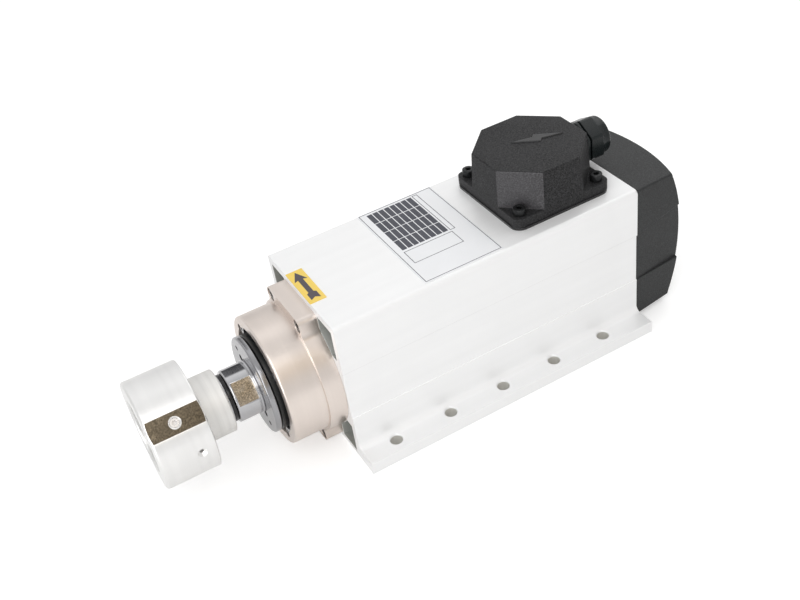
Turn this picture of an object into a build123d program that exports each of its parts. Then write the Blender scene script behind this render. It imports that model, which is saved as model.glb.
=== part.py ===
from build123d import *
import math
import os

os.makedirs("parts", exist_ok=True)

# Frame: +X runs along the spindle from the tool end to the fan cover, +Z is up.
# The origin is the middle of the foot's bolt pattern, on the mounting face.
# All sizes are millimetres.

# Clearances
RUNNING_GAP = 0.6
RACE_GAP = 0.06
SCREW_GAP = 0.25
THREAD_GAP = 0.05
SEAT_GAP = 0.02
EDGE_BREAK = 0.5

# Housing extrusion
HOUSING_LENGTH = 190.0
HOUSING_WIDTH = 82.0
HOUSING_WALL = 4.5
HOUSING_FLOOR = 3.0
HOUSING_CORNER = 2.5
AXIS_HEIGHT = 46.0
TOP_ABOVE_AXIS = 47.0
STATOR_BORE = 36.0
BORE_TUBE_WALL = 3.5
BAND_LOW = 31.0
BAND_HIGH = 62.6
BAND_DEPTH = 0.6
DUCT_START_Y = 21.0
DUCT_START_Z = 24.0
FRONT_POCKET_DEPTH = 8.0
LEAD_HOLE_RADIUS = 6.0

# Foot
FOOT_WIDTH = 110.0
FOOT_THICKNESS = 8.0
FOOT_FILLET = 4.0
FOOT_HOLE_RADIUS = 3.5
FOOT_HOLE_COUNT = 5
FOOT_HOLE_PITCH = 35.0
FOOT_HOLE_SPREAD = 94.0
FOOT_FIRST_HOLE = 20.0
FOOT_HOLE_CHAMFER = 0.4

# Rear screw ports inside the air ducts
PORT_Y = 32.0
PORT_Z = 29.0
PORT_RADIUS = 4.8

# Front bearing housing
NOSE_RADIUS = 37.5
NOSE_LENGTH = 20.3
NOSE_EDGE = 1.2
FLANGE_RADIUS = 39.0
FLANGE_THICKNESS = 10.5
FLANGE_BAR_HALF_WIDTH = 20.5
FLANGE_BAR_FROM_TOP = 3.5
FLANGE_BAR_FROM_FOOT = 2.5
FLANGE_CORNER = 3.5
FLANGE_BLEND = 6.0
FLANGE_SCREW_Y = 16.5
FLANGE_SCREW_INSET = 4.5
SPIGOT_SHOULDER = 4.0

# Front bearing cap and its screws
CAP_RADIUS = 31.0
CAP_SINK = 1.6
CAP_THICKNESS = 3.0
CAP_BOSS_RADIUS = 27.8
CAP_BOSS_LENGTH = 4.0
CAP_BOSS_EDGE = 0.5
CAP_SPIGOT = 3.0
CAP_SCREW_PITCH_RADIUS = 30.3
CAP_SCREW_ANGLE = -40.0
CAP_EAR_RADIUS = 3.1
CAP_EAR_FLOOR = 1.0

# Front pair of angular contact bearings
FRONT_BEARING_BORE = 12.5
FRONT_BEARING_OUTER = 23.5
FRONT_BEARING_WIDTH = 12.0
FRONT_BALL_RADIUS = 3.0
FRONT_BALL_COUNT = 9
BEARING_SPACER = 4.0

# Rear deep groove bearing
REAR_BEARING_BORE = 8.5
REAR_BEARING_OUTER = 20.0
REAR_BEARING_WIDTH = 12.0
REAR_BALL_RADIUS = 3.2
REAR_BALL_COUNT = 7
BEARING_RING_SHARE = 0.28

# Shaft
COLLAR_RADIUS = 15.0
COLLAR_LENGTH = 14.5
COLLAR_LIP = 1.2
COLLAR_LIP_HEIGHT = 0.5
FLAT_ACROSS = 27.0
FLAT_LENGTH = 11.0
FLAT_FROM_LIP = 0.8
FLAT_ANGLE = 52.0
NECK_RADIUS = 12.0
NECK_LENGTH = 3.3
SHOULDER_RADIUS = 13.9
SHOULDER_LENGTH = 1.0
NECK_RING_RADIUS = 13.5
TAIL_RADIUS = 11.0
TAIL_LENGTH = 15.0
ROTOR_SEAT_RADIUS = 12.0
FAN_SEAT_RADIUS = 7.0

# Labyrinth ring in front of the nose
SLINGER_RADIUS = 28.0
SLINGER_THICKNESS = 3.2
SLINGER_HUB_RADIUS = 18.6
SLINGER_CHAMFER = 0.6
SPANNER_HOLE_RADIUS = 1.5
SPANNER_HOLE_PITCH_RADIUS = 22.1
SPANNER_ANGLE = -38.5
LOCK_POINT_RADIUS = 2.3
LOCK_POINT_DEPTH = 2.5

# Bearing lock nut
LOCK_NUT_RADIUS = 18.5
LOCK_NUT_LENGTH = 7.0
LOCK_NUT_SLOT = 5.0
LOCK_NUT_SLOT_DEPTH = 2.0

# Tool hub
HUB_RADIUS = 30.5
HUB_BODY_LENGTH = 30.3
HUB_NECK_RADIUS = 18.0
HUB_NECK_LENGTH = 15.2
HUB_FRONT_CHAMFER = 1.0
TOOL_BORE_RADIUS = 20.0
TOOL_BORE_DEPTH = 20.0
HUB_WEB = 3.0
HUB_RECESS_RADIUS = 10.5
HUB_RECESS_DEPTH = 7.5
HUB_FLAT_HALF_WIDTH = 5.8
HUB_FLAT_ANGLE = 49.0
SET_SCREW_RADIUS = 2.5
SET_SCREW_SINK = 1.5
SET_SCREW_BORE_GAP = 0.4
SET_HOLE_COUNTERSINK = 0.8
BALANCE_HOLE_RADIUS = 2.7
BALANCE_DRILL_RADIUS = 1.0
BALANCE_DRILL_DEPTH = 5.0
BALANCE_HOLE_FROM_REAR = 8.2
BALANCE_HOLE_ANGLES = (90.0, 131.0)
HUB_SCREW_RADIUS = 4.0
HUB_SCREW_LENGTH = 20.0
HUB_WASHER_RADIUS = 9.5
HUB_WASHER_THICKNESS = 1.6

# Stator and rotor
STATOR_INNER = 20.2
STATOR_FROM_FRONT = 66.0
STATOR_FROM_REAR = 36.0
SLOT_COUNT = 18
SLOT_WIDTH = 4.2
SLOT_FLOOR = 31.0
SLOT_TOOTH_LIP = 1.5
WINDING_OVERHANG = 15.0
WINDING_OUTER = 33.5
AIR_GAP = 0.5
ROTOR_OVERLAP = 4.0
END_RING_LENGTH = 6.0
END_RING_DROP = 1.5

# Rear bearing bracket
BRACKET_FLANGE_RADIUS = 37.2
BRACKET_FLANGE_THICKNESS = 6.0
BRACKET_SPIGOT_LENGTH = 11.0
BRACKET_SHOULDER = 3.0
PRELOAD_WASHER_THICKNESS = 1.2
BRACKET_HUB_WALL = 5.0
BRACKET_VENT_RADIUS = 3.2
BRACKET_VENT_COUNT = 6
BRACKET_VENT_START = 30.0

# Fan cover
COVER_FLOOR_Z = 4.0
COVER_WALL = 2.5
COVER_LENGTH = 41.4
COVER_SIDE_DRAFT = 7.6
COVER_TOP_DRAFT = 4.3
COVER_DOME_RADIUS = 120.0
COVER_EDGE = 1.2
COVER_BAND_DRAFT = 9.6
COVER_BAND_FLARE = 5.0
COVER_SCREW_SEAT = 18.0
POST_RADIUS = 4.6
GRILLE_RINGS = 3
GRILLE_FIRST_RADIUS = 11.5
GRILLE_RING_STEP = 8.2
GRILLE_SLOT_WIDTH = 4.6
GRILLE_RIB_ANGLE = 9.0

# Fan
FAN_RADIUS = 31.0
FAN_HUB_RADIUS = 11.0
FAN_WIDTH = 18.0
FAN_PLATE = 2.0
FAN_FRONT_GAP = 3.0
FAN_BLADE_COUNT = 9
FAN_BLADE_THICKNESS = 1.8
FAN_BLADE_SWEEP = 24.0
CIRCLIP_THICKNESS = 1.2
CIRCLIP_HEIGHT = 2.6
SHAFT_END_CHAMFER = 0.8

# Terminal box
BOX_SIDE = 62.0
BOX_FROM_FRONT = 148.0
BOX_HEIGHT = 27.8
BOX_LEDGE = 5.5
BOX_CORNER_CUT = 18.0
BOX_CORNER_RADIUS = 4.0
BOX_TOP_SHRINK = 2.0
BOX_WALL = 2.6
BOX_TOP_EDGE = 0.7
GASKET_THICKNESS = 1.5
GASKET_OVERHANG = 0.6
GASKET_CORNER = 6.5
BOX_SCREW_INSET = 5.5
BOLT_LENGTH = 29.0
BOLT_HALF_WIDTH = 3.8
BOLT_HEIGHT = 0.6
BOLT_ANGLE = -21.0
BOLT_OFFSET_X = 6.0
BOLT_OFFSET_Y = 1.0

# Terminal block
BLOCK_LENGTH = 34.0
BLOCK_WIDTH = 26.0
BLOCK_HEIGHT = 8.0
STUD_COUNT = 3
STUD_PITCH = 10.0
STUD_ROW_SPREAD = 12.0
STUD_RADIUS = 2.0
STUD_HEIGHT = 9.0
STUD_NUT_RADIUS = 3.9
STUD_NUT_HEIGHT = 3.0

# Cable gland
GLAND_HEIGHT = 14.8
GLAND_THREAD_RADIUS = 9.2
GLAND_HEX_ACROSS = 23.0
GLAND_FLANGE = 2.0
GLAND_NUT_GAP = 1.0
GLAND_NUT_HEX = 8.0
GLAND_NUT_DOME = 6.0
GLAND_LIP_RADIUS = 10.9
GLAND_LIP_LENGTH = 3.4
GLAND_LIP_ROUND = 1.6
GLAND_CABLE_RADIUS = 5.0
GLAND_SEAL_RADIUS = 8.0
GLAND_SEAL_LENGTH = 9.0
GLAND_LOCK_NUT = 4.0
GLAND_LOCK_ACROSS = 20.5
GLAND_LOCK_TRIM = 0.7
GLAND_CORNER_TRIM = 1.3
GLAND_PAD_RIM = 1.0

# Plates on the top face
PLATE_LENGTH = 48.0
PLATE_WIDTH = 77.0
PLATE_THICKNESS = 0.4
PLATE_FROM_FRONT = 55.5
PLATE_CENTRE_Y = 0.7
ARROW_PLATE_LENGTH = 9.6
ARROW_PLATE_WIDTH = 31.2
ARROW_PLATE_THICKNESS = 0.3
ARROW_PLATE_CENTRE_Y = 0.8

# Cap screw sizes: shank radius, head radius, head height, socket across flats
M3_SCREW = (1.5, 2.75, 3.0, 2.5)
M4_SCREW = (2.0, 3.5, 4.0, 3.0)
M8_LOW_SCREW = (4.0, 6.5, 5.0, 5.0)
HEAD_CHAMFER = 0.4
CAP_SCREW_LENGTH = 10.0
FLANGE_SCREW_LENGTH = 18.0
BOX_SCREW_LENGTH = 11.0
COVER_SCREW_GRIP = 12.0

# Heights and stations along the spindle
housing_height = AXIS_HEIGHT + TOP_ABOVE_AXIS
housing_front = -(FOOT_FIRST_HOLE + FOOT_HOLE_PITCH * (FOOT_HOLE_COUNT - 1) / 2)
housing_rear = housing_front + HOUSING_LENGTH
flange_front = housing_front - FLANGE_THICKNESS
nose_front = flange_front - NOSE_LENGTH
cap_front = nose_front + CAP_SINK
cap_boss_front = cap_front - CAP_BOSS_LENGTH
slinger_back = cap_boss_front - RUNNING_GAP
slinger_front = slinger_back - SLINGER_THICKNESS
collar_front = slinger_front - COLLAR_LENGTH
neck_ring_front = collar_front - NECK_LENGTH + SHOULDER_LENGTH
hub_rear = collar_front - NECK_LENGTH
hub_step = hub_rear - HUB_NECK_LENGTH
hub_front = hub_step - HUB_BODY_LENGTH
tail_front = hub_rear - TAIL_LENGTH
hub_recess_floor = tail_front - HUB_WEB
tool_bore_floor = hub_front + TOOL_BORE_DEPTH
set_screw_station = hub_front + HUB_BODY_LENGTH / 2
cap_seat = cap_front + CAP_THICKNESS
bearing_front = cap_seat + CAP_SPIGOT
bearing_stack = 2 * FRONT_BEARING_WIDTH + BEARING_SPACER
bearing_rear = bearing_front + bearing_stack
spigot_rear = max(bearing_rear, housing_front) + SPIGOT_SHOULDER
stator_front = housing_front + STATOR_FROM_FRONT
stator_rear = housing_rear - STATOR_FROM_REAR
stator_length = stator_rear - stator_front
rotor_front = stator_front - ROTOR_OVERLAP
rotor_rear = stator_rear + ROTOR_OVERLAP
bracket_rear = housing_rear + BRACKET_FLANGE_THICKNESS
bracket_front = housing_rear - BRACKET_SPIGOT_LENGTH
washer_front = bracket_front + BRACKET_SHOULDER
rear_bearing_front = washer_front + PRELOAD_WASHER_THICKNESS
rear_bearing_rear = rear_bearing_front + REAR_BEARING_WIDTH
fan_front = bracket_rear + FAN_FRONT_GAP
fan_rear = fan_front + FAN_WIDTH
shaft_rear = fan_rear + CIRCLIP_THICKNESS + 2 * SHAFT_END_CHAMFER
cover_rear = housing_rear + COVER_LENGTH
cover_screw_seat = cover_rear - COVER_SCREW_SEAT
box_x = housing_front + BOX_FROM_FRONT
box_floor = housing_height + GASKET_THICKNESS
box_top = box_floor + BOX_HEIGHT
gland_z = box_floor + GLAND_HEIGHT
gland_wall = box_x + BOX_SIDE / 2
gland_inside = gland_wall - BOX_TOP_SHRINK / 2 - BOX_WALL
flange_low = FLANGE_BAR_FROM_FOOT - AXIS_HEIGHT
flange_high = TOP_ABOVE_AXIS - FLANGE_BAR_FROM_TOP
box_screw = BOX_SIDE / 2 - BOX_SCREW_INSET
flat_height = math.sqrt(HUB_RADIUS ** 2 - HUB_FLAT_HALF_WIDTH ** 2)
duct_outer = BORE_TUBE_WALL + STATOR_BORE
duct_y = HOUSING_WIDTH / 2 - HOUSING_WALL
duct_top = housing_height - HOUSING_WALL
cover_middle_z = (COVER_FLOOR_Z + housing_height) / 2


# Shape helpers


def rod(start, end, radius, y=0.0, z=AXIS_HEIGHT):
    """A round bar along X between two stations."""
    return Pos((start + end) / 2, y, z) * Rot(0, 90, 0) * Cylinder(radius, end - start)


def ring(start, end, outer, inner, y=0.0, z=AXIS_HEIGHT):
    """A round tube along X between two stations."""
    return rod(start, end, outer, y, z) - rod(start, end, inner, y, z)


def turned(points):
    """A solid turned about the spindle axis from (station, radius) points."""
    outline = Polyline(*[(x, 0, AXIS_HEIGHT + r) for x, r in points], close=True)
    return revolve(make_face(outline), Axis((0, 0, AXIS_HEIGHT), (1, 0, 0)), 360)


def about_axis(angle):
    """The frame on the spindle axis whose +Z leans towards -Y by an angle."""
    return Pos(0, 0, AXIS_HEIGHT) * Rot(angle, 0, 0)


def section(station):
    """The plane across the spindle at a station, drawn in (Y, Z)."""
    return Plane.YZ.offset(station)


def signs(y, z):
    """The four mirrored places of a point about both planes of symmetry."""
    return [(sy * y, sz * z) for sy in (-1, 1) for sz in (-1, 1)]


def cap_screw(size, length, recess=0.5):
    """A socket cap screw along -Z, with the underside of its head at the origin."""
    shank, head, height, across = size
    body = Pos(0, 0, height / 2) * Cylinder(head, height)
    body = chamfer(body.edges().sort_by(Axis.Z)[-1], HEAD_CHAMFER)
    body += Pos(0, 0, -length / 2) * Cylinder(shank, length)
    socket = Plane.XY.offset(height) * RegularPolygon(across / 2, 6, major_radius=False)
    return body - extrude(socket, -height * recess)


def slotted_places(count, start=0.0):
    """Evenly spaced angles round the spindle."""
    return [start + 360.0 * i / count for i in range(count)]


# Housing


def duct_region():
    """The four corner air ducts beside the bore tube, drawn across the spindle."""
    width = duct_y - DUCT_START_Y
    top = duct_top - AXIS_HEIGHT - DUCT_START_Z
    bottom = AXIS_HEIGHT - HOUSING_FLOOR - DUCT_START_Z
    middle = DUCT_START_Y + width / 2
    region = Sketch()
    for side in (-1, 1):
        upper = Pos(side * middle, AXIS_HEIGHT + DUCT_START_Z + top / 2)
        lower = Pos(side * middle, AXIS_HEIGHT - DUCT_START_Z - bottom / 2)
        region += upper * Rectangle(width, top) + lower * Rectangle(width, bottom)
    return region - Pos(0, AXIS_HEIGHT) * Circle(duct_outer)


def flange_screw_places():
    """The flange screws' places about the spindle axis."""
    heights = (flange_low + FLANGE_SCREW_INSET, flange_high - FLANGE_SCREW_INSET)
    return [(side * FLANGE_SCREW_Y, z) for side in (-1, 1) for z in heights]


def housing_profile():
    """The outline of the extrusion: square tube, recessed side bands and foot."""
    tube = Pos(0, housing_height / 2) * Rectangle(HOUSING_WIDTH, housing_height)
    foot = Pos(0, FOOT_THICKNESS / 2) * Rectangle(FOOT_WIDTH, FOOT_THICKNESS)
    outline = tube + foot
    inside = outline.vertices().filter_by(lambda v: abs(v.Y - FOOT_THICKNESS) < 0.1)
    outline = fillet(inside.filter_by(lambda v: abs(v.X) < HOUSING_WIDTH / 2 + 0.1), FOOT_FILLET)
    outline = fillet(outline.vertices().group_by(Axis.Y)[-1], HOUSING_CORNER)
    band_middle = (BAND_LOW + BAND_HIGH) / 2
    for side in (-1, 1):
        place = Pos(side * HOUSING_WIDTH / 2, band_middle)
        outline -= place * Rectangle(2 * BAND_DEPTH, BAND_HIGH - BAND_LOW)
    return outline


def motor_housing():
    """The extruded body with bore, air ducts, screw ports and drilled foot."""
    profile = housing_profile() - Pos(0, AXIS_HEIGHT) * Circle(STATOR_BORE)
    ports = Sketch()
    for y, z in signs(PORT_Y, PORT_Z):
        ports += Pos(y, AXIS_HEIGHT + z) * Circle(PORT_RADIUS)
    profile -= duct_region() - ports
    body = extrude(section(housing_front) * profile, HOUSING_LENGTH)
    pocket = duct_region() - Pos(0, AXIS_HEIGHT) * Circle(duct_outer)
    body -= extrude(section(housing_front) * pocket, FRONT_POCKET_DEPTH)
    for y, z in signs(PORT_Y, PORT_Z):
        depth = COVER_SCREW_GRIP + 2 * EDGE_BREAK
        hole_z = AXIS_HEIGHT + z
        body -= rod(housing_rear - depth, housing_rear, M4_SCREW[0] + THREAD_GAP, y, hole_z)
    for y, z in flange_screw_places():
        depth = FLANGE_SCREW_LENGTH
        hole_z = AXIS_HEIGHT + z
        body -= rod(housing_front, housing_front + depth, M4_SCREW[0] + THREAD_GAP, y, hole_z)
    drill = Cylinder(FOOT_HOLE_RADIUS, 4 * FOOT_THICKNESS)
    sink = Cone(FOOT_HOLE_RADIUS, FOOT_HOLE_RADIUS + 2 * FOOT_HOLE_CHAMFER, 2 * FOOT_HOLE_CHAMFER)
    for column in range(FOOT_HOLE_COUNT):
        x = (column - (FOOT_HOLE_COUNT - 1) / 2) * FOOT_HOLE_PITCH
        for side in (-1, 1):
            body -= Pos(x, side * FOOT_HOLE_SPREAD / 2, 0) * drill
            body -= Pos(x, side * FOOT_HOLE_SPREAD / 2, FOOT_THICKNESS) * sink
    body -= Pos(box_x, 0, housing_height) * Cylinder(LEAD_HOLE_RADIUS, housing_height - AXIS_HEIGHT)
    for x, y in signs(box_screw, box_screw):
        hole = Cylinder(M4_SCREW[0] + THREAD_GAP, 2 * BOX_SCREW_LENGTH)
        body -= Pos(box_x + x, y, housing_height) * hole
    return body


# Front bearing housing and cap


def flange_outline():
    """The round flange with its upright bar, drawn across the spindle."""
    bar = Rectangle(2 * FLANGE_BAR_HALF_WIDTH, flange_high - flange_low)
    outline = Circle(FLANGE_RADIUS) + Pos(0, (flange_high + flange_low) / 2) * bar
    sides = outline.vertices().filter_by(lambda v: abs(v.X) > FLANGE_BAR_HALF_WIDTH - 0.1)
    ends = sides.filter_by(lambda v: not flange_low + 0.1 < v.Y < flange_high - 0.1)
    outline = fillet(ends, FLANGE_CORNER)
    sides = outline.vertices().filter_by(lambda v: abs(v.X) > FLANGE_BAR_HALF_WIDTH - 0.1)
    waist = sides.filter_by(lambda v: abs(math.hypot(v.X, v.Y) - FLANGE_RADIUS) < 0.1)
    return Pos(0, AXIS_HEIGHT) * fillet(waist, FLANGE_BLEND)


def cap_outline(grow=0.0):
    """The cap disc with its four screw ears, drawn across the spindle."""
    outline = Circle(CAP_RADIUS + grow)
    for angle in slotted_places(4, CAP_SCREW_ANGLE):
        ear = Pos(0, CAP_SCREW_PITCH_RADIUS) * Circle(CAP_EAR_RADIUS + grow)
        outline += Rot(0, 0, angle) * ear
    return Pos(0, AXIS_HEIGHT) * outline


def front_bearing_housing():
    """The plated nose with its bolting flange, bearing bore and cap seat."""
    body = extrude(section(flange_front) * flange_outline(), FLANGE_THICKNESS)
    nose = rod(nose_front, flange_front, NOSE_RADIUS)
    rim = nose.edges().filter_by(GeomType.CIRCLE).sort_by(Axis.X)[0]
    body += fillet(rim, NOSE_EDGE)
    body += rod(housing_front, spigot_rear, STATOR_BORE - SEAT_GAP)
    seat = section(nose_front) * cap_outline(SCREW_GAP)
    body -= extrude(seat, CAP_SINK + CAP_THICKNESS)
    body -= rod(nose_front, bearing_rear, FRONT_BEARING_OUTER + SEAT_GAP)
    body -= rod(bearing_rear, spigot_rear, LOCK_NUT_RADIUS + RUNNING_GAP)
    for y, z in flange_screw_places():
        head = M4_SCREW[1] + SCREW_GAP
        hole_z = AXIS_HEIGHT + z
        body -= rod(flange_front, flange_front + M4_SCREW[2] + EDGE_BREAK, head, y, hole_z)
        body -= rod(flange_front, housing_front, M4_SCREW[0] + SCREW_GAP, y, hole_z)
    for angle in slotted_places(4, CAP_SCREW_ANGLE):
        hole = Pos(0, 0, CAP_SCREW_PITCH_RADIUS) * Rot(0, 90, 0)
        bore = Cylinder(M3_SCREW[0] + THREAD_GAP, 2 * CAP_SCREW_LENGTH)
        body -= Pos(cap_seat, 0, 0) * about_axis(angle) * hole * bore
    return body


def front_bearing_cap():
    """The dark cap that holds the front bearings, with a boss behind the labyrinth ring."""
    body = extrude(section(cap_front) * cap_outline(), CAP_THICKNESS)
    boss = rod(cap_boss_front, cap_front, CAP_BOSS_RADIUS)
    rim = boss.edges().filter_by(GeomType.CIRCLE).sort_by(Axis.X)[0]
    body += chamfer(rim, CAP_BOSS_EDGE)
    body += rod(cap_seat, bearing_front, FRONT_BEARING_OUTER - SEAT_GAP)
    body -= rod(cap_boss_front, bearing_front, SLINGER_HUB_RADIUS + RUNNING_GAP)
    for angle in slotted_places(4, CAP_SCREW_ANGLE):
        hole = Pos(0, 0, CAP_SCREW_PITCH_RADIUS) * Rot(0, 90, 0)
        bore = Cylinder(M3_SCREW[0] + SCREW_GAP, 4 * CAP_THICKNESS)
        head = Cylinder(M3_SCREW[1] + THREAD_GAP, 2 * (CAP_THICKNESS - CAP_EAR_FLOOR))
        body -= Pos(cap_seat, 0, 0) * about_axis(angle) * hole * bore
        body -= Pos(cap_front, 0, 0) * about_axis(angle) * hole * head
    return body


def front_cap_screws():
    """Four small cap screws in the ears of the bearing cap."""
    screws = []
    seat = cap_seat - CAP_EAR_FLOOR
    for angle in slotted_places(4, CAP_SCREW_ANGLE):
        place = Pos(seat, 0, 0) * about_axis(angle) * Pos(0, 0, CAP_SCREW_PITCH_RADIUS)
        screws.append(place * Rot(0, -90, 0) * cap_screw(M3_SCREW, CAP_SCREW_LENGTH))
    return Compound(children=screws)


def front_flange_screws():
    """Four cap screws that hold the front bearing housing to the extrusion."""
    screws = []
    seat = flange_front + M4_SCREW[2] + EDGE_BREAK
    for y, z in flange_screw_places():
        place = Pos(seat, y, AXIS_HEIGHT + z) * Rot(0, -90, 0)
        screws.append(place * cap_screw(M4_SCREW, FLANGE_SCREW_LENGTH))
    return Compound(children=screws)


# Rolling bearings


def race_sizes(bore, outer):
    """Ball pitch radius, inner land radius and outer land radius of a bearing."""
    depth = outer - bore
    return bore + depth / 2, bore + BEARING_RING_SHARE * depth, outer - BEARING_RING_SHARE * depth


def bearing_ring(start, width, bore, outer, ball, is_inner):
    """One ring of a ball bearing with its groove."""
    pitch, inner_land, outer_land = race_sizes(bore, outer)
    if is_inner:
        body = ring(start, start + width, inner_land, bore + SEAT_GAP)
    else:
        body = ring(start, start + width, outer, outer_land)
    middle = start + width / 2
    groove = Pos(middle, 0, AXIS_HEIGHT) * Rot(0, 90, 0) * Torus(pitch, ball + RACE_GAP)
    return body - groove


def ball_complement(start, width, bore, outer, ball, count):
    """The balls of one bearing and the cage that spaces them."""
    pitch, inner_land, outer_land = race_sizes(bore, outer)
    middle = start + width / 2
    cage_half = (outer_land - inner_land) / 2 - RUNNING_GAP
    cage = ring(middle - ball, middle + ball + 1.0, pitch + cage_half, pitch - cage_half)
    balls = []
    for angle in slotted_places(count):
        place = Pos(middle, 0, 0) * about_axis(angle) * Pos(0, 0, pitch)
        cage -= place * Cylinder(ball + RACE_GAP, 4 * cage_half)
        balls.append(place * Sphere(ball))
    return cage, balls


def front_stations():
    """Where each bearing of the front pair starts."""
    return (bearing_front, bearing_rear - FRONT_BEARING_WIDTH)


def front_rings(is_inner):
    """Both inner or both outer rings of the front pair."""
    return Compound(children=[
        bearing_ring(start, FRONT_BEARING_WIDTH, FRONT_BEARING_BORE, FRONT_BEARING_OUTER,
                     FRONT_BALL_RADIUS, is_inner)
        for start in front_stations()])


def front_ball_sets():
    """Cages and balls of the front pair."""
    cages, balls = [], []
    for start in front_stations():
        cage, row = ball_complement(start, FRONT_BEARING_WIDTH, FRONT_BEARING_BORE,
                                    FRONT_BEARING_OUTER, FRONT_BALL_RADIUS, FRONT_BALL_COUNT)
        cages.append(cage)
        balls += row
    return Compound(children=cages), Compound(children=balls)


def bearing_spacers():
    """The inner and the outer spacer between the front bearings."""
    start = bearing_front + FRONT_BEARING_WIDTH
    pitch, inner_land, outer_land = race_sizes(FRONT_BEARING_BORE, FRONT_BEARING_OUTER)
    end = start + BEARING_SPACER
    outer = ring(start, end, FRONT_BEARING_OUTER, outer_land)
    inner = ring(start, end, inner_land, FRONT_BEARING_BORE + SEAT_GAP)
    return outer, inner


def rear_ring(is_inner):
    """The inner or the outer ring of the rear bearing."""
    return bearing_ring(rear_bearing_front, REAR_BEARING_WIDTH, REAR_BEARING_BORE,
                        REAR_BEARING_OUTER, REAR_BALL_RADIUS, is_inner)


def bearing_lock_nut():
    """The slotted nut that clamps the front inner rings on the shaft."""
    start = bearing_rear
    end = start + LOCK_NUT_LENGTH
    body = ring(start, end, LOCK_NUT_RADIUS, FRONT_BEARING_BORE + SEAT_GAP)
    slot = Box(2 * LOCK_NUT_LENGTH + 2 * EDGE_BREAK, LOCK_NUT_SLOT, 2 * LOCK_NUT_SLOT_DEPTH)
    for angle in slotted_places(4):
        body -= Pos(end, 0, 0) * about_axis(angle) * Pos(0, 0, LOCK_NUT_RADIUS) * slot
    return body


# Shaft, labyrinth ring and tool hub


def shaft():
    """The spindle shaft from the hub's tail to the fan seat."""
    collar_rear = slinger_front
    lip = COLLAR_RADIUS + COLLAR_LIP_HEIGHT
    body = turned([
        (tail_front, 0), (tail_front, TAIL_RADIUS), (hub_rear, TAIL_RADIUS),
        (hub_rear, SHOULDER_RADIUS), (neck_ring_front, SHOULDER_RADIUS),
        (neck_ring_front, NECK_RADIUS), (collar_front, NECK_RADIUS),
        (collar_front, COLLAR_RADIUS - EDGE_BREAK), (collar_front + EDGE_BREAK, COLLAR_RADIUS),
        (collar_rear - COLLAR_LIP, COLLAR_RADIUS), (collar_rear - COLLAR_LIP, lip),
        (collar_rear, lip), (collar_rear, COLLAR_RADIUS), (bearing_front, COLLAR_RADIUS),
        (bearing_front, FRONT_BEARING_BORE),
        (bearing_rear + LOCK_NUT_LENGTH, FRONT_BEARING_BORE),
        (bearing_rear + LOCK_NUT_LENGTH, ROTOR_SEAT_RADIUS),
        (rear_bearing_front, ROTOR_SEAT_RADIUS), (rear_bearing_front, REAR_BEARING_BORE),
        (rear_bearing_rear, REAR_BEARING_BORE), (rear_bearing_rear, FAN_SEAT_RADIUS),
        (shaft_rear - SHAFT_END_CHAMFER, FAN_SEAT_RADIUS),
        (shaft_rear, FAN_SEAT_RADIUS - SHAFT_END_CHAMFER), (shaft_rear, 0)])
    flat_rear = collar_rear - COLLAR_LIP - FLAT_FROM_LIP
    flat_middle = flat_rear - FLAT_LENGTH / 2
    cutter = Box(FLAT_LENGTH, 2 * COLLAR_RADIUS, COLLAR_RADIUS)
    for angle in (FLAT_ANGLE, FLAT_ANGLE + 180):
        lift = FLAT_ACROSS / 2 + COLLAR_RADIUS / 2
        body -= Pos(flat_middle, 0, 0) * about_axis(angle) * Pos(0, 0, lift) * cutter
    body -= rod(tail_front, tail_front + HUB_SCREW_LENGTH, HUB_SCREW_RADIUS + THREAD_GAP)
    clip = fan_rear
    groove = FAN_SEAT_RADIUS - CIRCLIP_HEIGHT / 3
    body -= ring(clip, clip + CIRCLIP_THICKNESS, FAN_SEAT_RADIUS + 1.0, groove)
    return body


def neck_ring():
    """The black sealing ring in the groove between the hub's shoulder and the collar."""
    body = ring(neck_ring_front, collar_front, NECK_RING_RADIUS, NECK_RADIUS + SEAT_GAP)
    rims = body.edges().filter_by(GeomType.CIRCLE).filter_by(lambda e: e.radius > NECK_RING_RADIUS - 0.1)
    return fillet(rims, (NECK_RING_RADIUS - NECK_RADIUS) / 2)


def slinger_disc():
    """The labyrinth ring that turns with the shaft in front of the nose."""
    hub_end = bearing_front
    body = turned([
        (slinger_front, COLLAR_RADIUS + SEAT_GAP),
        (slinger_front, SLINGER_RADIUS - SLINGER_CHAMFER),
        (slinger_front + SLINGER_CHAMFER, SLINGER_RADIUS),
        (slinger_back, SLINGER_RADIUS), (slinger_back, SLINGER_HUB_RADIUS),
        (hub_end, SLINGER_HUB_RADIUS), (hub_end, COLLAR_RADIUS + SEAT_GAP)])
    for angle in (SPANNER_ANGLE, SPANNER_ANGLE + 180):
        face = Pos(slinger_front, 0, 0) * about_axis(angle)
        hole = Rot(0, 90, 0) * Cylinder(SPANNER_HOLE_RADIUS, 3 * SLINGER_THICKNESS)
        lock = Rot(0, 90, 0) * Cylinder(LOCK_POINT_RADIUS, 2 * LOCK_POINT_DEPTH)
        body -= face * Pos(0, 0, SPANNER_HOLE_PITCH_RADIUS) * hole
        body -= face * Pos(0, 0, COLLAR_RADIUS + LOCK_POINT_RADIUS / 2) * lock
    return body


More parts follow.
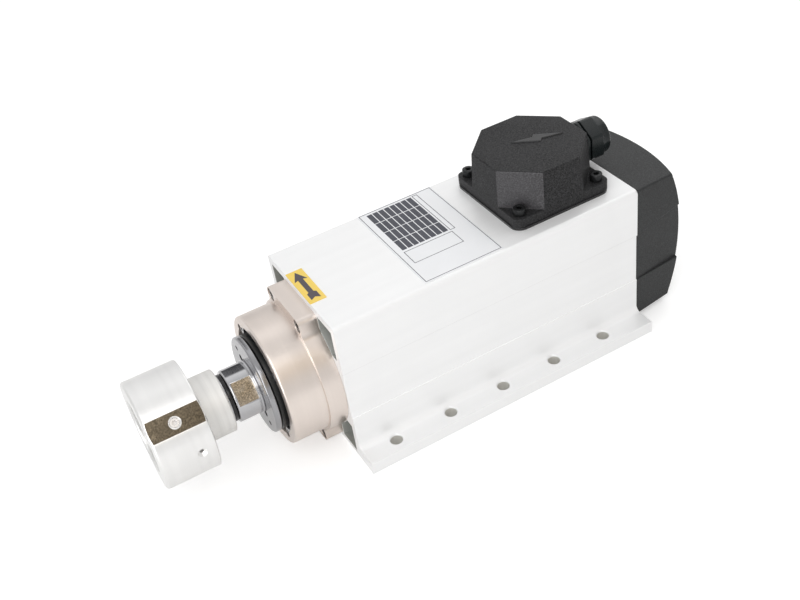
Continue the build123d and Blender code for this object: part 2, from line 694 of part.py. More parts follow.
def tool_hub():
    """The aluminium tool hub with its socket, flats and drillings."""
    body = turned([
        (hub_front, TOOL_BORE_RADIUS + EDGE_BREAK),
        (hub_front, HUB_RADIUS - HUB_FRONT_CHAMFER),
        (hub_front + HUB_FRONT_CHAMFER, HUB_RADIUS),
        (hub_step - EDGE_BREAK, HUB_RADIUS), (hub_step, HUB_RADIUS - EDGE_BREAK),
        (hub_step, HUB_NECK_RADIUS), (hub_rear - EDGE_BREAK, HUB_NECK_RADIUS),
        (hub_rear, HUB_NECK_RADIUS - EDGE_BREAK), (hub_rear, TAIL_RADIUS + SEAT_GAP),
        (tail_front, TAIL_RADIUS + SEAT_GAP), (tail_front, HUB_SCREW_RADIUS + SCREW_GAP),
        (hub_recess_floor, HUB_SCREW_RADIUS + SCREW_GAP), (hub_recess_floor, HUB_RECESS_RADIUS),
        (tool_bore_floor, HUB_RECESS_RADIUS), (tool_bore_floor, TOOL_BORE_RADIUS),
        (hub_front + EDGE_BREAK, TOOL_BORE_RADIUS)])
    middle = (hub_front + hub_step) / 2
    rim = SET_SCREW_RADIUS + THREAD_GAP
    sink = Cone(rim, rim + 2 * SET_HOLE_COUNTERSINK, 2 * SET_HOLE_COUNTERSINK)
    cutter = Box(HUB_BODY_LENGTH, HUB_RADIUS, HUB_RADIUS)
    for angle in (HUB_FLAT_ANGLE, HUB_FLAT_ANGLE + 180):
        lift = Pos(middle, 0, 0) * about_axis(angle) * Pos(0, 0, flat_height + HUB_RADIUS / 2)
        body -= lift * cutter
        hole = Pos(set_screw_station, 0, 0) * about_axis(angle)
        body -= hole * Pos(0, 0, HUB_RADIUS / 2) * Cylinder(rim, HUB_RADIUS)
        body -= hole * Pos(0, 0, flat_height) * sink
    for angle in BALANCE_HOLE_ANGLES:
        place = Pos(hub_step - BALANCE_HOLE_FROM_REAR, 0, 0) * about_axis(angle)
        dimple = Cone(0, 2 * BALANCE_HOLE_RADIUS, 2 * BALANCE_HOLE_RADIUS)
        drill = Cylinder(BALANCE_DRILL_RADIUS, 2 * BALANCE_DRILL_DEPTH)
        body -= place * Pos(0, 0, HUB_RADIUS) * (dimple + drill)
    return body


def tool_set_screws():
    """Two socket set screws that grip the tool through the hub's flats."""
    screws = []
    top = flat_height - SET_SCREW_SINK
    length = top - TOOL_BORE_RADIUS - SET_SCREW_BORE_GAP
    for angle in (HUB_FLAT_ANGLE, HUB_FLAT_ANGLE + 180):
        body = Cylinder(SET_SCREW_RADIUS, length)
        key = Plane.XY.offset(length / 2) * RegularPolygon(SET_SCREW_RADIUS / 2, 6)
        body -= extrude(key, -length / 3)
        lift = Pos(0, 0, top - length / 2)
        screws.append(Pos(set_screw_station, 0, 0) * about_axis(angle) * lift * body)
    return Compound(children=screws)


def hub_retaining_screw():
    """The central screw that draws the hub on to the shaft, and its washer."""
    seat = hub_recess_floor - HUB_WASHER_THICKNESS
    washer = ring(seat, hub_recess_floor, HUB_WASHER_RADIUS, HUB_SCREW_RADIUS + SCREW_GAP)
    place = Pos(seat, 0, AXIS_HEIGHT) * Rot(0, -90, 0)
    return place * cap_screw(M8_LOW_SCREW, HUB_SCREW_LENGTH), washer


# Stator and rotor


def stator_slots(length, width, floor, top):
    """The bars that fill the stator slots, used to cut them and to wind them."""
    bars = Sketch()
    for angle in slotted_places(SLOT_COUNT):
        bar = Pos(0, (floor + top) / 2) * Rectangle(width, floor - top)
        bars += Rot(0, 0, angle) * bar
    return extrude(section(stator_front) * Pos(0, AXIS_HEIGHT) * bars, length)


def stator_core():
    """The laminated stator stack with its winding slots."""
    body = ring(stator_front, stator_rear, STATOR_BORE - SEAT_GAP, STATOR_INNER)
    return body - stator_slots(stator_length, SLOT_WIDTH, SLOT_FLOOR, STATOR_INNER + SLOT_TOOTH_LIP)


def stator_windings():
    """The copper winding: end turns at both ends joined through the slots."""
    inner = STATOR_INNER + SLOT_TOOTH_LIP + SEAT_GAP
    bars = stator_slots(stator_length, SLOT_WIDTH - 2 * SEAT_GAP, SLOT_FLOOR - SEAT_GAP, inner)
    ends = []
    for start in (stator_front - WINDING_OVERHANG, stator_rear):
        coil = ring(start, start + WINDING_OVERHANG, WINDING_OUTER, inner)
        rims = coil.edges().filter_by(GeomType.CIRCLE)
        ends.append(fillet(rims.filter_by(lambda e: e.radius > inner + 1), WINDING_OVERHANG / 5))
    return ends[0] + bars + ends[1]


def rotor_core():
    """The rotor stack with its cast end rings."""
    core = STATOR_INNER - AIR_GAP
    body = turned([
        (rotor_front - END_RING_LENGTH, ROTOR_SEAT_RADIUS + SEAT_GAP),
        (rotor_front - END_RING_LENGTH, core - END_RING_DROP), (rotor_front, core - END_RING_DROP),
        (rotor_front, core), (rotor_rear, core), (rotor_rear, core - END_RING_DROP),
        (rotor_rear + END_RING_LENGTH, core - END_RING_DROP),
        (rotor_rear + END_RING_LENGTH, ROTOR_SEAT_RADIUS + SEAT_GAP)])
    return body


# Rear bearing bracket


def rear_bearing_bracket():
    """The rear end shield with its bearing seat and screw ears."""
    outline = Circle(BRACKET_FLANGE_RADIUS)
    for y, z in signs(PORT_Y, PORT_Z):
        outline += Pos(y, z) * Circle(PORT_RADIUS)
        lean = math.degrees(math.atan2(z, y))
        outline += Pos(y / 2, z / 2) * Rot(0, 0, lean) * Rectangle(math.hypot(y, z), 2 * PORT_RADIUS)
    flange = section(housing_rear) * Pos(0, AXIS_HEIGHT) * outline
    body = extrude(flange, BRACKET_FLANGE_THICKNESS)
    body += rod(bracket_front, housing_rear, STATOR_BORE - SEAT_GAP)
    hub = REAR_BEARING_OUTER + BRACKET_HUB_WALL
    body -= ring(bracket_front, housing_rear, STATOR_BORE - BRACKET_HUB_WALL, hub)
    body -= rod(washer_front, bracket_rear, REAR_BEARING_OUTER + SEAT_GAP)
    body -= rod(bracket_front, washer_front, ROTOR_SEAT_RADIUS + RUNNING_GAP)
    for y, z in signs(PORT_Y, PORT_Z):
        screw = M4_SCREW[0] + SCREW_GAP
        body -= rod(housing_rear, bracket_rear, screw, y, AXIS_HEIGHT + z)
    vent_radius = (STATOR_BORE - BRACKET_HUB_WALL + hub) / 2
    for angle in slotted_places(BRACKET_VENT_COUNT, BRACKET_VENT_START):
        vent = Rot(0, 90, 0) * Cylinder(BRACKET_VENT_RADIUS, 4 * BRACKET_FLANGE_THICKNESS)
        body -= Pos(housing_rear, 0, 0) * about_axis(angle) * Pos(0, 0, vent_radius) * vent
    return body


def preload_washer():
    """The spring washer behind the rear bearing's outer ring."""
    inner = race_sizes(REAR_BEARING_BORE, REAR_BEARING_OUTER)[2]
    return ring(washer_front, rear_bearing_front, REAR_BEARING_OUTER, inner)


# Fan and fan cover


def cover_block(inset, side_draft, dome_inset):
    """The drafted block of the fan cover, closed by its domed back."""
    rear = cover_rear + COVER_WALL
    length = rear - housing_rear
    side = length * math.tan(math.radians(side_draft))
    top = length * math.tan(math.radians(COVER_TOP_DRAFT))
    width = HOUSING_WIDTH - 2 * inset
    height = housing_height - COVER_FLOOR_Z - 2 * inset
    front_face = section(housing_rear) * Pos(0, cover_middle_z) * Rectangle(width, height)
    rear_size = Rectangle(width - 2 * side, height - top)
    rear_face = section(rear) * Pos(0, cover_middle_z - top / 2) * rear_size
    block = loft([front_face.face(), rear_face.face()])
    long_edges = block.edges().filter_by(lambda e: abs(e.tangent_at(0.5).X) > 0.5)
    block = fillet(long_edges, COVER_EDGE)
    centre = cover_rear - COVER_DOME_RADIUS
    return block & Pos(centre, 0, cover_middle_z) * Sphere(COVER_DOME_RADIUS - dome_inset)


def cover_shell():
    """The outside of the fan cover with its recessed, flaring side bands."""
    plain = cover_block(0, COVER_SIDE_DRAFT, 0)
    recessed = cover_block(BAND_DEPTH, COVER_BAND_DRAFT, 0)
    rear = cover_rear + COVER_WALL
    flare = COVER_BAND_FLARE * (rear - housing_rear) / COVER_LENGTH
    wedge = Polyline((housing_rear - 1, 0, BAND_LOW), (housing_rear - 1, 0, BAND_HIGH),
                     (rear, 0, BAND_HIGH + flare), (rear, 0, BAND_LOW - flare / 2), close=True)
    band = extrude(make_face(wedge), HOUSING_WIDTH, both=True)
    return plain - (band - recessed)


def cover_grille():
    """The slots of the rear grille, drawn across the spindle."""
    slots = Sketch()
    for ring_index in range(GRILLE_RINGS):
        radius = GRILLE_FIRST_RADIUS + ring_index * GRILLE_RING_STEP
        count = 4 * (ring_index + 1)
        sweep = 360.0 / count - GRILLE_RIB_ANGLE / (ring_index + 1)
        trim = 2 * math.degrees(math.asin(GRILLE_SLOT_WIDTH / 2 / radius))
        for angle in slotted_places(count, 45):
            arc = CenterArc((0, 0), radius, angle + trim / 2, sweep - trim)
            slots += SlotArc(arc, GRILLE_SLOT_WIDTH)
    return slots


def fan_cover():
    """The moulded fan cover: drafted shell, domed grille back and screw posts."""
    outside = cover_shell()
    body = outside - cover_block(COVER_WALL, COVER_SIDE_DRAFT, COVER_WALL)
    for y, z in signs(PORT_Y, PORT_Z):
        post = rod(bracket_rear, cover_rear, POST_RADIUS, y, AXIS_HEIGHT + z)
        body += post & outside
    for y, z in signs(PORT_Y, PORT_Z):
        hole_z = AXIS_HEIGHT + z
        body -= rod(housing_rear, cover_rear, M4_SCREW[0] + SCREW_GAP, y, hole_z)
        body -= rod(cover_screw_seat, cover_rear, M4_SCREW[1] + 2 * THREAD_GAP, y, hole_z)
    grille = section(cover_rear - COVER_LENGTH / 2) * Pos(0, AXIS_HEIGHT) * cover_grille()
    return body - extrude(grille, COVER_LENGTH)


def fan_cover_screws():
    """Four long screws through the cover and bracket into the housing."""
    screws = []
    length = cover_screw_seat - housing_rear + COVER_SCREW_GRIP
    for y, z in signs(PORT_Y, PORT_Z):
        place = Pos(cover_screw_seat, y, AXIS_HEIGHT + z) * Rot(0, 90, 0)
        screws.append(place * cap_screw(M4_SCREW, length))
    return Compound(children=screws)


def cooling_fan():
    """The radial fan: hub, back plate and swept blades."""
    body = rod(fan_front, fan_rear, FAN_HUB_RADIUS)
    body += rod(fan_front, fan_front + FAN_PLATE, FAN_RADIUS)
    blades = Sketch()
    root = FAN_HUB_RADIUS - 1.0
    tip = FAN_RADIUS - FAN_BLADE_THICKNESS
    half = (root + tip) / 2
    bend = math.radians(FAN_BLADE_SWEEP)
    sweep = ThreePointArc((0, root), (half * math.sin(bend / 3), half * math.cos(bend / 3)),
                          (tip * math.sin(bend), tip * math.cos(bend)))
    for angle in slotted_places(FAN_BLADE_COUNT):
        blades += Rot(0, 0, angle) * SlotArc(sweep, FAN_BLADE_THICKNESS)
    body += extrude(section(fan_front) * Pos(0, AXIS_HEIGHT) * blades, FAN_WIDTH)
    return body - rod(fan_front, fan_rear, FAN_SEAT_RADIUS + SEAT_GAP)


def fan_circlip():
    """The open retaining ring behind the fan."""
    inner = FAN_SEAT_RADIUS - CIRCLIP_HEIGHT / 3 + SEAT_GAP
    body = ring(fan_rear, fan_rear + CIRCLIP_THICKNESS, inner + CIRCLIP_HEIGHT, inner)
    gap = Box(4 * CIRCLIP_THICKNESS, CIRCLIP_HEIGHT, 2 * FAN_SEAT_RADIUS)
    return body - Pos(fan_rear, 0, AXIS_HEIGHT - FAN_SEAT_RADIUS) * gap


# Terminal box


def octagon(side, cut):
    """A square with its corners cut off."""
    square = Rectangle(side, side)
    return chamfer(square.vertices(), cut)


def hood_cavity():
    """The straight-sided hollow of the hood, as a flat outline."""
    side = BOX_SIDE - BOX_TOP_SHRINK - 2 * BOX_WALL
    return octagon(side, BOX_CORNER_CUT - BOX_WALL * (2 - math.sqrt(2)))


def lightning_bolt():
    """The lightning bolt moulded on the lid, as a flat outline of two mirrored halves."""
    tip = BOLT_LENGTH / 2
    heel = BOLT_LENGTH / 12
    half = [(-tip, 0), (heel / 2, -BOLT_HALF_WIDTH), (heel, -heel / 2)]
    outline = Polygon(*half, *[(-x, -y) for x, y in half], align=None)
    return Pos(BOLT_OFFSET_X, BOLT_OFFSET_Y) * Rot(0, 0, BOLT_ANGLE) * outline


def terminal_box_hood():
    """The moulded hood: square foot with screw ledges and octagonal top."""
    floor = Plane.XY.offset(box_floor)
    ledge = Plane.XY.offset(box_floor + BOX_LEDGE)
    roof = Plane.XY.offset(box_top)
    body = extrude(floor * RectangleRounded(BOX_SIDE, BOX_SIDE, BOX_CORNER_RADIUS), BOX_LEDGE)
    top_side = BOX_SIDE - BOX_TOP_SHRINK
    upper = loft([(ledge * octagon(BOX_SIDE, BOX_CORNER_CUT)).face(),
                  (roof * octagon(top_side, BOX_CORNER_CUT)).face()])
    upper = fillet(upper.faces().sort_by(Axis.Z)[-1].edges(), BOX_TOP_EDGE)
    body += upper
    body -= extrude(floor * hood_cavity(), BOX_HEIGHT - BOX_WALL)
    body += extrude(roof * lightning_bolt(), BOLT_HEIGHT)
    for x, y in signs(box_screw, box_screw):
        body -= Pos(x, y, box_floor) * Cylinder(M4_SCREW[0] + SCREW_GAP, 4 * BOX_LEDGE)
    body = Pos(box_x, 0, 0) * body
    body += rod(gland_inside, gland_wall, GLAND_HEX_ACROSS / 2 + GLAND_PAD_RIM, 0, gland_z)
    relief = GLAND_LOCK_ACROSS / 2 + GLAND_LOCK_TRIM + SCREW_GAP
    body -= rod(gland_lock_start, gland_inside, relief, 0, gland_z)
    thread = GLAND_THREAD_RADIUS + THREAD_GAP
    return body - rod(gland_inside - EDGE_BREAK, gland_wall + EDGE_BREAK, thread, 0, gland_z)


def terminal_box_gasket():
    """The rubber gasket between the hood and the housing."""
    side = BOX_SIDE + 2 * GASKET_OVERHANG
    outline = RectangleRounded(side, side, GASKET_CORNER)
    outline -= hood_cavity()
    for x, y in signs(box_screw, box_screw):
        outline -= Pos(x, y) * Circle(M4_SCREW[0] + SCREW_GAP)
    return Pos(box_x, 0, 0) * extrude(Plane.XY.offset(housing_height) * outline, GASKET_THICKNESS)


def terminal_box_screws():
    """Four cap screws on the corner ledges of the hood."""
    seat = box_floor + BOX_LEDGE
    return Compound(children=[
        Pos(box_x + x, y, seat) * cap_screw(M4_SCREW, BOX_SCREW_LENGTH)
        for x, y in signs(box_screw, box_screw)])


def stud_places():
    """The terminal studs' places on the block."""
    return [(box_x + (i - (STUD_COUNT - 1) / 2) * STUD_PITCH, row * STUD_ROW_SPREAD / 2)
            for i in range(STUD_COUNT) for row in (-1, 1)]


def terminal_block():
    """The insulating block that carries the studs inside the hood."""
    body = Pos(box_x, 0, housing_height + BLOCK_HEIGHT / 2) * Box(BLOCK_LENGTH, BLOCK_WIDTH, BLOCK_HEIGHT)
    body = fillet(body.edges().filter_by(Axis.Z), 2.0)
    body -= Pos(box_x, 0, housing_height) * Cylinder(LEAD_HOLE_RADIUS / 2, 4 * BLOCK_HEIGHT)
    for x, y in stud_places():
        body -= Pos(x, y, housing_height + BLOCK_HEIGHT) * Cylinder(STUD_RADIUS + SEAT_GAP, BLOCK_HEIGHT)
    return body


def terminal_studs():
    """Brass studs with their nuts."""
    studs = []
    top = housing_height + BLOCK_HEIGHT
    for x, y in stud_places():
        foot = top - BLOCK_HEIGHT / 2
        stud = Pos(x, y, foot + (BLOCK_HEIGHT / 2 + STUD_HEIGHT) / 2)
        body = stud * Cylinder(STUD_RADIUS, BLOCK_HEIGHT / 2 + STUD_HEIGHT)
        nut = Plane.XY.offset(top) * Pos(x, y) * RegularPolygon(STUD_NUT_RADIUS, 6)
        studs.append(body + extrude(nut, STUD_NUT_HEIGHT))
    return Compound(children=studs)


# Cable gland


def gland_hexagon(station, length, across, trim, turn):
    """A hexagon prism on the gland's axis, with its corners trimmed round."""
    outline = Rot(0, 0, turn) * RegularPolygon(across / 2, 6, major_radius=False)
    outline &= Circle(across / 2 + trim)
    return extrude(section(station) * Pos(0, gland_z) * outline, length)


gland_nut_start = gland_wall + GLAND_FLANGE + GLAND_NUT_GAP
gland_hex_end = gland_nut_start + GLAND_NUT_HEX
gland_nut_end = gland_hex_end + GLAND_NUT_DOME
gland_sleeve_end = gland_nut_end - GLAND_SEAL_LENGTH / 2
gland_lock_start = gland_inside - GLAND_LOCK_NUT


def cable_gland_body():
    """The gland's body: threads through the hood wall and into the clamp nut."""
    inside = gland_lock_start - EDGE_BREAK
    body = gland_hexagon(gland_wall, GLAND_FLANGE, GLAND_HEX_ACROSS, GLAND_CORNER_TRIM, 90)
    body += rod(inside, gland_wall, GLAND_THREAD_RADIUS, 0, gland_z)
    body += rod(gland_wall, gland_sleeve_end, GLAND_THREAD_RADIUS, 0, gland_z)
    body -= rod(inside, gland_sleeve_end, GLAND_CABLE_RADIUS + GLAND_PAD_RIM, 0, gland_z)
    seal_start = gland_sleeve_end - GLAND_SEAL_LENGTH / 2
    body -= rod(seal_start, gland_sleeve_end, GLAND_SEAL_RADIUS + SEAT_GAP, 0, gland_z)
    return body


def gland_seal():
    """The rubber seal squeezed round the cable."""
    start = gland_nut_end - GLAND_SEAL_LENGTH
    return ring(start, gland_nut_end, GLAND_SEAL_RADIUS, GLAND_CABLE_RADIUS, 0, gland_z)


def gland_clamp_nut():
    """The hexagon nut of the gland, with a coned end and a rounded lip."""
    body = gland_hexagon(gland_nut_start, GLAND_NUT_HEX, GLAND_HEX_ACROSS, GLAND_CORNER_TRIM, 90)
    lip_start = gland_nut_end - GLAND_LIP_LENGTH
    cone_place = Pos((gland_hex_end + lip_start) / 2, 0, gland_z) * Rot(0, 90, 0)
    body += cone_place * Cone(GLAND_HEX_ACROSS / 2, GLAND_LIP_RADIUS, lip_start - gland_hex_end)
    lip = rod(lip_start, gland_nut_end, GLAND_LIP_RADIUS, 0, gland_z)
    rim = lip.edges().filter_by(GeomType.CIRCLE).sort_by(Axis.X)[-1]
    body += fillet(rim, GLAND_LIP_ROUND)
    body -= rod(gland_nut_start, gland_sleeve_end, GLAND_THREAD_RADIUS + THREAD_GAP, 0, gland_z)
    return body - rod(gland_sleeve_end, gland_nut_end, GLAND_SEAL_RADIUS + SEAT_GAP, 0, gland_z)


def gland_lock_nut():
    """The nut that holds the gland inside the hood."""
    body = gland_hexagon(gland_lock_start, GLAND_LOCK_NUT, GLAND_LOCK_ACROSS, GLAND_LOCK_TRIM, 0)
    thread = GLAND_THREAD_RADIUS + THREAD_GAP
    return body - rod(gland_lock_start, gland_inside, thread, 0, gland_z)


# Plates


def top_plate(from_front, length, width, thickness, centre_y):
    """A thin plate stuck on the top face."""
    outline = Pos(housing_front + from_front + length / 2, centre_y) * Rectangle(length, width)
    return extrude(Plane.XY.offset(housing_height) * outline, thickness)


front_cages, front_balls = front_ball_sets()
rear_cage, rear_balls = ball_complement(rear_bearing_front, REAR_BEARING_WIDTH, REAR_BEARING_BORE,
                                        REAR_BEARING_OUTER, REAR_BALL_RADIUS, REAR_BALL_COUNT)
spacer_outer, spacer_inner = bearing_spacers()
hub_screw, hub_washer = hub_retaining_screw()

pieces = {
    "motor_housing": motor_housing(),
    "front_bearing_housing": front_bearing_housing(),
    "front_flange_screws": front_flange_screws(),
    "front_bearing_cap": front_bearing_cap(),
    "front_cap_screws": front_cap_screws(),
    "front_bearing_outer_rings": front_rings(False),
    "front_bearing_inner_rings": front_rings(True),
    "front_bearing_cages": front_cages,
    "front_bearing_balls": front_balls,
    "outer_ring_spacer": spacer_outer,
    "inner_ring_spacer": spacer_inner,
    "bearing_lock_nut": bearing_lock_nut(),
    "stator_core": stator_core(),
    "stator_windings": stator_windings(),
    "rotor_core": rotor_core(),
    "shaft": shaft(),
    "neck_ring": neck_ring(),
    "slinger_disc": slinger_disc(),
    "tool_hub": tool_hub(),
    "tool_set_screws": tool_set_screws(),
    "hub_retaining_screw": hub_screw,
    "hub_washer": hub_washer,
    "rear_bearing_bracket": rear_bearing_bracket(),
    "rear_bearing_outer_ring": rear_ring(False),
    "rear_bearing_inner_ring": rear_ring(True),
    "rear_bearing_cage": rear_cage,
    "rear_bearing_balls": Compound(children=rear_balls),
    "preload_washer": preload_washer(),
    "cooling_fan": cooling_fan(),
    "fan_circlip": fan_circlip(),
    "fan_cover": fan_cover(),
    "fan_cover_screws": fan_cover_screws(),
    "terminal_box_gasket": terminal_box_gasket(),
    "terminal_box_hood": terminal_box_hood(),
    "terminal_box_screws": terminal_box_screws(),
    "terminal_block": terminal_block(),
    "terminal_studs": terminal_studs(),
    "cable_gland_body": cable_gland_body(),
    "gland_seal": gland_seal(),
    "gland_clamp_nut": gland_clamp_nut(),
    "gland_lock_nut": gland_lock_nut(),
    "rating_plate": top_plate(PLATE_FROM_FRONT, PLATE_LENGTH, PLATE_WIDTH, PLATE_THICKNESS,
                              PLATE_CENTRE_Y),
    "direction_plate": top_plate(0, ARROW_PLATE_LENGTH, ARROW_PLATE_WIDTH,
                                 ARROW_PLATE_THICKNESS, ARROW_PLATE_CENTRE_Y),
}

for name, piece in pieces.items():
    export_step(piece, f"parts/{name}.step")
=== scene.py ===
"""A fan-cooled motor spindle with its tool hub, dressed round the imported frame."""

import logging
import math
from dataclasses import dataclass, field
from enum import Enum
from typing import Any, Iterable, Mapping, Optional, Sequence

import bmesh
import bpy
from mathutils import Matrix, Vector


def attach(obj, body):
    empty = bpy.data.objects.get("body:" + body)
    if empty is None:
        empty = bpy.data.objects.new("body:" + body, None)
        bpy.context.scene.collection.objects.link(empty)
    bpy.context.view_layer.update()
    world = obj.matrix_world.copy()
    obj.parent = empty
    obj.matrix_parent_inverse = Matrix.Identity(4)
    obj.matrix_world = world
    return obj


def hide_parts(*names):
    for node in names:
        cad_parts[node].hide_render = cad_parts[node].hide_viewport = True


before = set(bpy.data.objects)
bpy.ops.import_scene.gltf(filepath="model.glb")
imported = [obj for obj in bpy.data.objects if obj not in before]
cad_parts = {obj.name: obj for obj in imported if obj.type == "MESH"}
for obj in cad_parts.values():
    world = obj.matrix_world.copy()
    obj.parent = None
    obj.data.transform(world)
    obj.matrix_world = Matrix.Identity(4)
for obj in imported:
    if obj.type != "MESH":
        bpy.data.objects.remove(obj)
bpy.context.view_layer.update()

LOG = logging.getLogger("motor_spindle")
MM = 0.001
AXIS_HEIGHT = 46.0
TOP_FACE = 93.0
WELD = 2e-6
FLAT_ANGLE = math.radians(0.4)
SMOOTH_ANGLE = math.radians(38.0)
SHARP_ANGLE = math.radians(30.0)
SQUARE_ON = 0.999
NEAR = 0.05
ROOM = 1.6

Colour = tuple[float, float, float]
Place = tuple[float, float, float]
Node = bpy.types.Node
Socket = bpy.types.NodeSocket
Tree = bpy.types.NodeTree
Mesh = bmesh.types.BMesh
Face = bmesh.types.BMFace
Edge = bmesh.types.BMEdge
Vert = bmesh.types.BMVert


class Body(Enum):
    """The bodies of the frame that new pieces ride on."""

    CASE = "body"
    ROTOR = "rotor"


class Slot(Enum):
    """Material slot names that the builders hand to each new piece."""

    CASE = "anodised_body"
    NOSE = "plated_nose"
    SCREW = "screw_steel"
    SHAFT = "ground_shaft"
    RING = "polished_ring"
    HUB = "machined_aluminium"
    PLASTIC = "textured_plastic"
    GLAND = "gland_plastic"
    RUBBER = "gasket_rubber"
    BRACKET = "cast_bracket"
    FAN = "fan_plastic"
    PLATE = "plate_film"
    ARROW = "arrow_film"


# Shader tools


class Graph:
    """A node tree with short ways to add and wire nodes."""

    def __init__(self, tree: Tree) -> None:
        """Keeps the tree that the nodes go in."""
        self.tree = tree

    def add(self, kind: str, inputs: Optional[Mapping[Any, Any]] = None, **settings: Any) -> Node:
        """Adds a node.

        Args:
            kind: The node's type name without the ShaderNode prefix, or a full group name.
            inputs: Socket name or index to a value or to the socket that feeds it.
            settings: The node's own properties.

        Returns:
            The new node.
        """
        node = self.tree.nodes.new(kind if kind.startswith("Node") else "ShaderNode" + kind)
        for key, value in settings.items():
            setattr(node, key, value)
        for key, value in (inputs or {}).items():
            if isinstance(value, Socket):
                self.tree.links.new(value, node.inputs[key])
            else:
                node.inputs[key].default_value = value
        return node

    def link(self, source: Socket, node: Node, socket: str) -> None:
        """Links a source to a node's input."""
        self.tree.links.new(source, node.inputs[socket])

    def math(self, operation: str, first: Any, second: Any = 0.0, clamp: bool = False) -> Socket:
        """Adds a math node.

        Args:
            operation: Blender's name of the operation.
            first: The first value or socket.
            second: The second value or socket.
            clamp: Whether the result is kept from 0 to 1.

        Returns:
            The result's socket.
        """
        return self.add("Math", {0: first, 1: second}, operation=operation, use_clamp=clamp).outputs[0]

    def product(self, first: Any, second: Any, clamp: bool = False) -> Socket:
        """Returns the product of two values or sockets, kept from 0 to 1 if clamp is set."""
        return self.math("MULTIPLY", first, second, clamp)

    def total(self, first: Any, second: Any) -> Socket:
        """Returns the sum of two values or sockets."""
        return self.math("ADD", first, second)

    def remap(self, value: Any, low: float, high: float, to_low: float, to_high: float) -> Socket:
        """Adds a clamped map range.

        Args:
            value: The value or socket to map.
            low: Where the source range starts.
            high: Where the source range ends.
            to_low: What the start becomes.
            to_high: What the end becomes.

        Returns:
            The result's socket.
        """
        inputs = {"Value": value, "From Min": low, "From Max": high, "To Min": to_low, "To Max": to_high}
        return self.add("MapRange", inputs).outputs[0]

    def fade(self, mask: Any, start: float, end: float) -> Socket:
        """Returns a value that goes from one number to another as a mask goes from 0 to 1."""
        return self.remap(mask, 0.0, 1.0, start, end)

    def widened(self, noise: Any, low: float = 0.0, high: float = 1.0,
                span: tuple[float, float] = (0.3, 0.7)) -> Socket:
        """Returns a noise with the span that its values mostly have widened to a range."""
        return self.remap(noise, *span, low, high)

    def mix(self, factor: Any, first: Any, second: Any) -> Socket:
        """Adds a colour mix.

        Args:
            factor: The share of the second colour.
            first: The first colour or socket.
            second: The second colour or socket.

        Returns:
            The mixed colour's socket.
        """
        colours = {key: value if isinstance(value, Socket) else (*value, 1.0)
                   for key, value in ((6, first), (7, second))}
        return self.add("Mix", {0: factor, **colours}, data_type="RGBA").outputs[2]

    def on_piece(self) -> Socket:
        """Returns the place on the piece, in metres."""
        return self.add("TexCoord").outputs["Object"]

    def noise(self, place: Any, scale: Any, detail: float = 2.0, **inputs: float) -> Socket:
        """Adds a noise.

        Args:
            place: The socket with the place that it is read at.
            scale: The noise's scale, as a value or socket.
            detail: Its detail.
            inputs: Its other inputs.

        Returns:
            The noise value's socket.
        """
        return self.add("TexNoise", {"Vector": place, "Scale": scale, "Detail": detail, **inputs}).outputs[0]

    def stretched(self, place: Any, scale: Place, rotation: Place = (0.0, 0.0, 0.0)) -> Socket:
        """Returns a place turned and then scaled along each axis."""
        return self.add("Mapping", {"Vector": place, "Rotation": rotation, "Scale": scale}).outputs[0]

    def effect(self, group: Tree, **inputs: Any) -> Node:
        """Places an effect group with its own values and returns its node."""
        return self.add("Group", inputs, node_tree=group)


